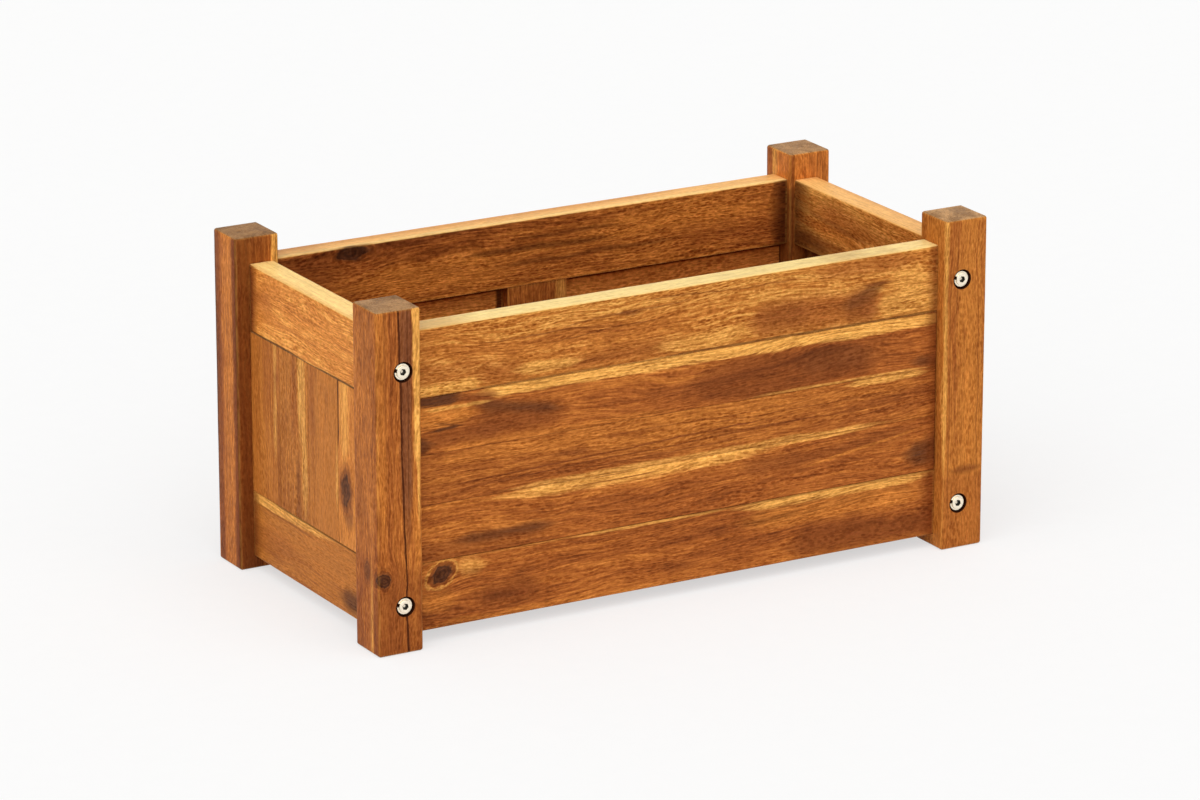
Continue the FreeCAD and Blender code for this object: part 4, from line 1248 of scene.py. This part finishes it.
class GARDENBED_OT_bolts(Operator):
    """Make the eight hex socket bolts"""

    bl_idname = "garden_bed.bolts"
    bl_label = "Bolts"

    def execute(self, context):
        bolts = settings().bolts
        places = all_bolts()
        lift = bolts.washer_thickness - bolts.sink_depth
        y = np.array([vertex.co.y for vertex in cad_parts["frame_bolts"].data.vertices])
        _, face, _, out = places[0]
        tip = out * (y[y < 0].max() - face) - lift

        count, socket_turn, flat = 96, 0.26, math.pi / 3
        t = np.linspace(0, 2 * math.pi, count, endpoint=False)
        hexagon = bolts.socket / 2 / np.cos((t + socket_turn) % flat - flat / 2)
        shank, chamfer, bevel, cone = bolts.shank_diameter / 2, 0.7 * MM, 0.22 * MM, 0.5 * MM
        rim, top, edge = bolts.head_diameter / 2, bolts.head_height, bolts.head_edge
        floor = top - bolts.socket_depth
        turn = np.linspace(0, math.pi / 2, 6)
        socket_radius = [hexagon + bevel, hexagon, hexagon, hexagon * 0.5, 0]
        socket_height = [top, top - bevel, floor, floor - 0.6 * cone, floor - cone]
        radius = [0, shank - chamfer, shank, shank, rim - bevel, rim, *(rim - edge + edge * np.cos(turn)),
                  (rim - edge + hexagon + bevel) / 2, *socket_radius]
        height = [tip, tip, tip + chamfer, 0, 0, bevel, *(top - edge + edge * np.sin(turn)),
                  top, *socket_height]
        bolt = turned_shape(radius, height, count)
        zinc = plated_material("bolt_zinc", bolts.zinc, roughness=0.34, wear=0.25)
        # The socket's walls are painted near black: the shade inside the socket
        dark = plated_material("socket_wall", shaded(bolts.zinc, 0.06), roughness=0.5, wear=0.3)
        piece = make_piece(
            "socket_bolts", *set_out(bolt, places, lift), [zinc, dark], ["frame_bolts"], "bolt_steel")
        # Faces of the socket's walls take the painted shade
        wall = np.zeros((len(places), len(bolt[1])), dtype=np.int32)
        first = len(radius) - len(socket_radius) - 1
        wall[:, first * count:(first + 3) * count] = 1
        piece.data.polygons.foreach_set("material_index", wall.ravel())
        return {"FINISHED"}


class GARDENBED_OT_washers(Operator):
    """Make the eight split spring washers"""

    bl_idname = "garden_bed.washers"
    bl_label = "Spring washers"

    def execute(self, context):
        bolts = settings().bolts
        inner, outer, thick = bolts.washer_hole / 2, bolts.washer_diameter / 2, bolts.washer_thickness
        easing, steps, split = 0.3 * MM, 90, math.radians(165)
        outline, _ = section_outline((outer - inner, thick), [easing] * 4, spacing=0.8 * MM, arc_steps=4)
        radius = (inner + outer) / 2
        opening = bolts.washer_split / radius
        t = split + opening / 2 + np.linspace(0, 2 * math.pi - opening, steps)[:, None]
        r = radius + outline[:, 0]
        z = np.broadcast_to(thick / 2 + outline[:, 1], (steps, len(r)))
        rings = np.stack([r * np.cos(t), r * np.sin(t), z], -1)
        count = len(r)
        faces = tube_faces(steps, count)[:, ::-1].tolist()
        faces.append(list(range(count)))
        faces.append(list(range((steps - 1) * count, steps * count))[::-1])
        washers = set_out((rings.reshape(-1, 3), faces), all_bolts(), -bolts.sink_depth)
        zinc = plated_material("washer_zinc", bolts.zinc, roughness=0.3, wear=0.2)
        make_piece("split_washers", *washers, [zinc], ["spring_washers"], "bolt_steel")
        return {"FINISHED"}


class GARDENBED_OT_fasteners(Operator):
    """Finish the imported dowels, inserts and screws, whose shapes stay as they are"""

    bl_idname = "garden_bed.fasteners"
    bl_label = "Dowels, inserts and screws"

    def execute(self, context):
        bolts = settings().bolts
        finishes = {
            "floor_screws": plated_material("floor_screw_plate", bolts.steel, roughness=0.4, wear=0.4),
            "bearer_screws": plated_material("bearer_screw_plate", bolts.steel, roughness=0.4, wear=0.4),
            "threaded_inserts": plated_material("insert_plate", bolts.brass, roughness=0.42, wear=0.3),
        }
        for node, axes in (("long_rail_dowels", LONG_BOARD), ("end_rail_dowels", END_BOARD),
                           ("batten_dowels", UPRIGHT)):
            finishes[node] = hardwood_material(node + "_wood", Look("gold"), axes, *corners(node), 0.4)
        for node, material in finishes.items():
            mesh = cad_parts[node].data
            mesh.materials.clear()
            mesh.materials.append(material)
        return {"FINISHED"}


SUN_WIDTH = math.radians(90)
KEY_FROM = (-0.28, -0.58, 0.85)
FILL_FROM = (-0.80, -0.30, 0.50)
CAMERA_FROM = (-0.4752, -0.8274, 0.2994)
CAMERA_AIM = (0.0153, 0.0292, 0.1050)
SENSOR_WIDTH = 36
FARTHEST_SEEN = 100
FLOOR_RADII = (0.2, 0.6, 1.5, 4.0, 10.0, 25.0)
FLOOR_POINTS = 96
FLOOR_DROP = -0.2 * MM
WHITE = (1.0, 1.0, 1.0, 1.0)


class GARDENBED_OT_stage(Operator):
    """Lay the floor, set the lights and place the camera"""

    bl_idname = "garden_bed.stage"
    bl_label = "Stage"

    def execute(self, context):
        stage = settings().stage
        scene = context.scene
        scene.view_settings.view_transform = "Standard"
        self.lay_floor(stage)
        self.light_sky(scene, stage)
        for name, strength, direction in (
                ("key_light", stage.key, KEY_FROM), ("fill_light", stage.fill, FILL_FROM)):
            lamp = bpy.data.lights.new(name, "SUN")
            lamp.energy = strength
            lamp.angle = SUN_WIDTH
            linked(name, lamp).matrix_world = self.looking_from(direction)
        camera = bpy.data.cameras.new("camera")
        camera.lens = stage.lens
        camera.sensor_width = SENSOR_WIDTH
        camera.clip_end = FARTHEST_SEEN
        scene.camera = linked("camera", camera)
        scene.camera.matrix_world = self.looking_from(CAMERA_FROM)
        scene.camera.location = np.array(CAMERA_AIM) + stage.camera_distance * np.array(CAMERA_FROM)
        return {"FINISHED"}

    @staticmethod
    def looking_from(direction):
        """Turn whose own +Z is the given direction and whose +X lies level."""
        back = np.array(direction) / np.linalg.norm(direction)
        right = np.cross((0, 0, 1), back)
        right /= np.linalg.norm(right)
        up = np.cross(back, right)
        return Matrix(np.stack([right, up, back], 1).tolist()).to_4x4()

    @staticmethod
    def seen_rays(w):
        """One for rays that the camera sends, straight or by way of gloss or glass, and nought for others."""
        path = w.add("ShaderNodeLightPath", output=None)
        return w.math("MAXIMUM", path["Is Camera Ray"],
                      w.math("MAXIMUM", path["Is Glossy Ray"], path["Is Transmission Ray"]))

    def lay_floor(self, stage):
        """Round floor as the polar grid (r cos t, r sin t, drop), a hair below the feet."""
        t = np.linspace(0, 2 * math.pi, FLOOR_POINTS, endpoint=False)
        r = np.array(FLOOR_RADII)[:, None]
        drop = np.full((len(r), len(t)), FLOOR_DROP)
        rings = np.stack([r * np.cos(t), r * np.sin(t), drop], -1).reshape(-1, 3)
        faces = tube_faces(len(r), len(t))[:, ::-1].tolist() + [list(range(len(t)))]
        material, w = new_material("studio_floor")
        grain = w.noise(w.place(60.0), 3.0)
        tint = w.ramp(grain, (0.3, shaded(stage.floor, 0.985)), (0.7, tuple(stage.floor)))
        lit = w.add("ShaderNodeBsdfPrincipled", {
            "Base Color": tint, "Roughness": 0.9, "Specular IOR Level": 0.1})
        white = w.add("ShaderNodeEmission", {"Color": WHITE, "Strength": 1.0})
        share = self.seen_rays(w) * stage.backdrop
        w.end(w.add("ShaderNodeMixShader", {0: share, 1: lit, 2: white}))
        linked("studio_floor", array_mesh("studio_floor", rings, faces, [material]))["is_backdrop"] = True

    def light_sky(self, scene, stage):
        """White for the camera and for reflections, and a plain even light for everything else."""
        world = bpy.data.worlds.new("studio_sky")
        scene.world = world
        world.use_nodes = True
        world.node_tree.nodes.clear()
        w = Wiring(world.node_tree)
        strength = self.seen_rays(w).scaled(1.0 - stage.sky, stage.sky)
        w.end(w.add("ShaderNodeBackground", {"Color": WHITE, "Strength": strength}), "World")


class BedSettings(PropertyGroup):
    """All settings of the garden bed."""

    boards: PointerProperty(type=BedBoards, name="Boards", description="Easing of the boards")
    wood: PointerProperty(type=BedWood, name="Wood", description="Colours and grain of the wood")
    bolts: PointerProperty(type=BedBolts, name="Bolts", description="Sizes and plating of the bolts")
    stage: PointerProperty(type=BedStage, name="Stage", description="Floor, light and camera")


OPERATORS = (
    GARDENBED_OT_posts,
    GARDENBED_OT_rails,
    GARDENBED_OT_long_panels,
    GARDENBED_OT_end_panels,
    GARDENBED_OT_battens,
    GARDENBED_OT_floor_boards,
    GARDENBED_OT_bolts,
    GARDENBED_OT_washers,
    GARDENBED_OT_fasteners,
    GARDENBED_OT_stage,
)


class GARDENBED_PT_panel(Panel):
    """Lists the steps that make the garden bed and its settings"""

    bl_idname = "GARDENBED_PT_panel"
    bl_label = "Garden Bed"
    bl_space_type = "VIEW_3D"
    bl_region_type = "UI"
    bl_category = "Garden Bed"

    def draw(self, context):
        layout = self.layout
        for step in OPERATORS:
            layout.operator(step.bl_idname)
        for group in ("boards", "wood", "bolts", "stage"):
            box = layout.box()
            box.label(text=group.capitalize())
            values = getattr(context.scene.garden_bed, group)
            for name in values.bl_rna.properties.keys():
                if name not in ("rna_type", "name"):
                    box.prop(values, name)


CLASSES = (BedBoards, BedWood, BedBolts, BedStage, BedSettings, *OPERATORS, GARDENBED_PT_panel)


def register():
    for cls in CLASSES:
        bpy.utils.register_class(cls)
    bpy.types.Scene.garden_bed = PointerProperty(type=BedSettings)


def unregister():
    del bpy.types.Scene.garden_bed
    for cls in reversed(CLASSES):
        bpy.utils.unregister_class(cls)


def main():
    register()
    for step in OPERATORS:
        group, name = step.bl_idname.split(".")
        getattr(getattr(bpy.ops, group), name)()
    sizes = {"cad": [list(c) for c in CAD_BOX], "visual": [list(c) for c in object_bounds()]}


if __name__ == "__main__":
    main()
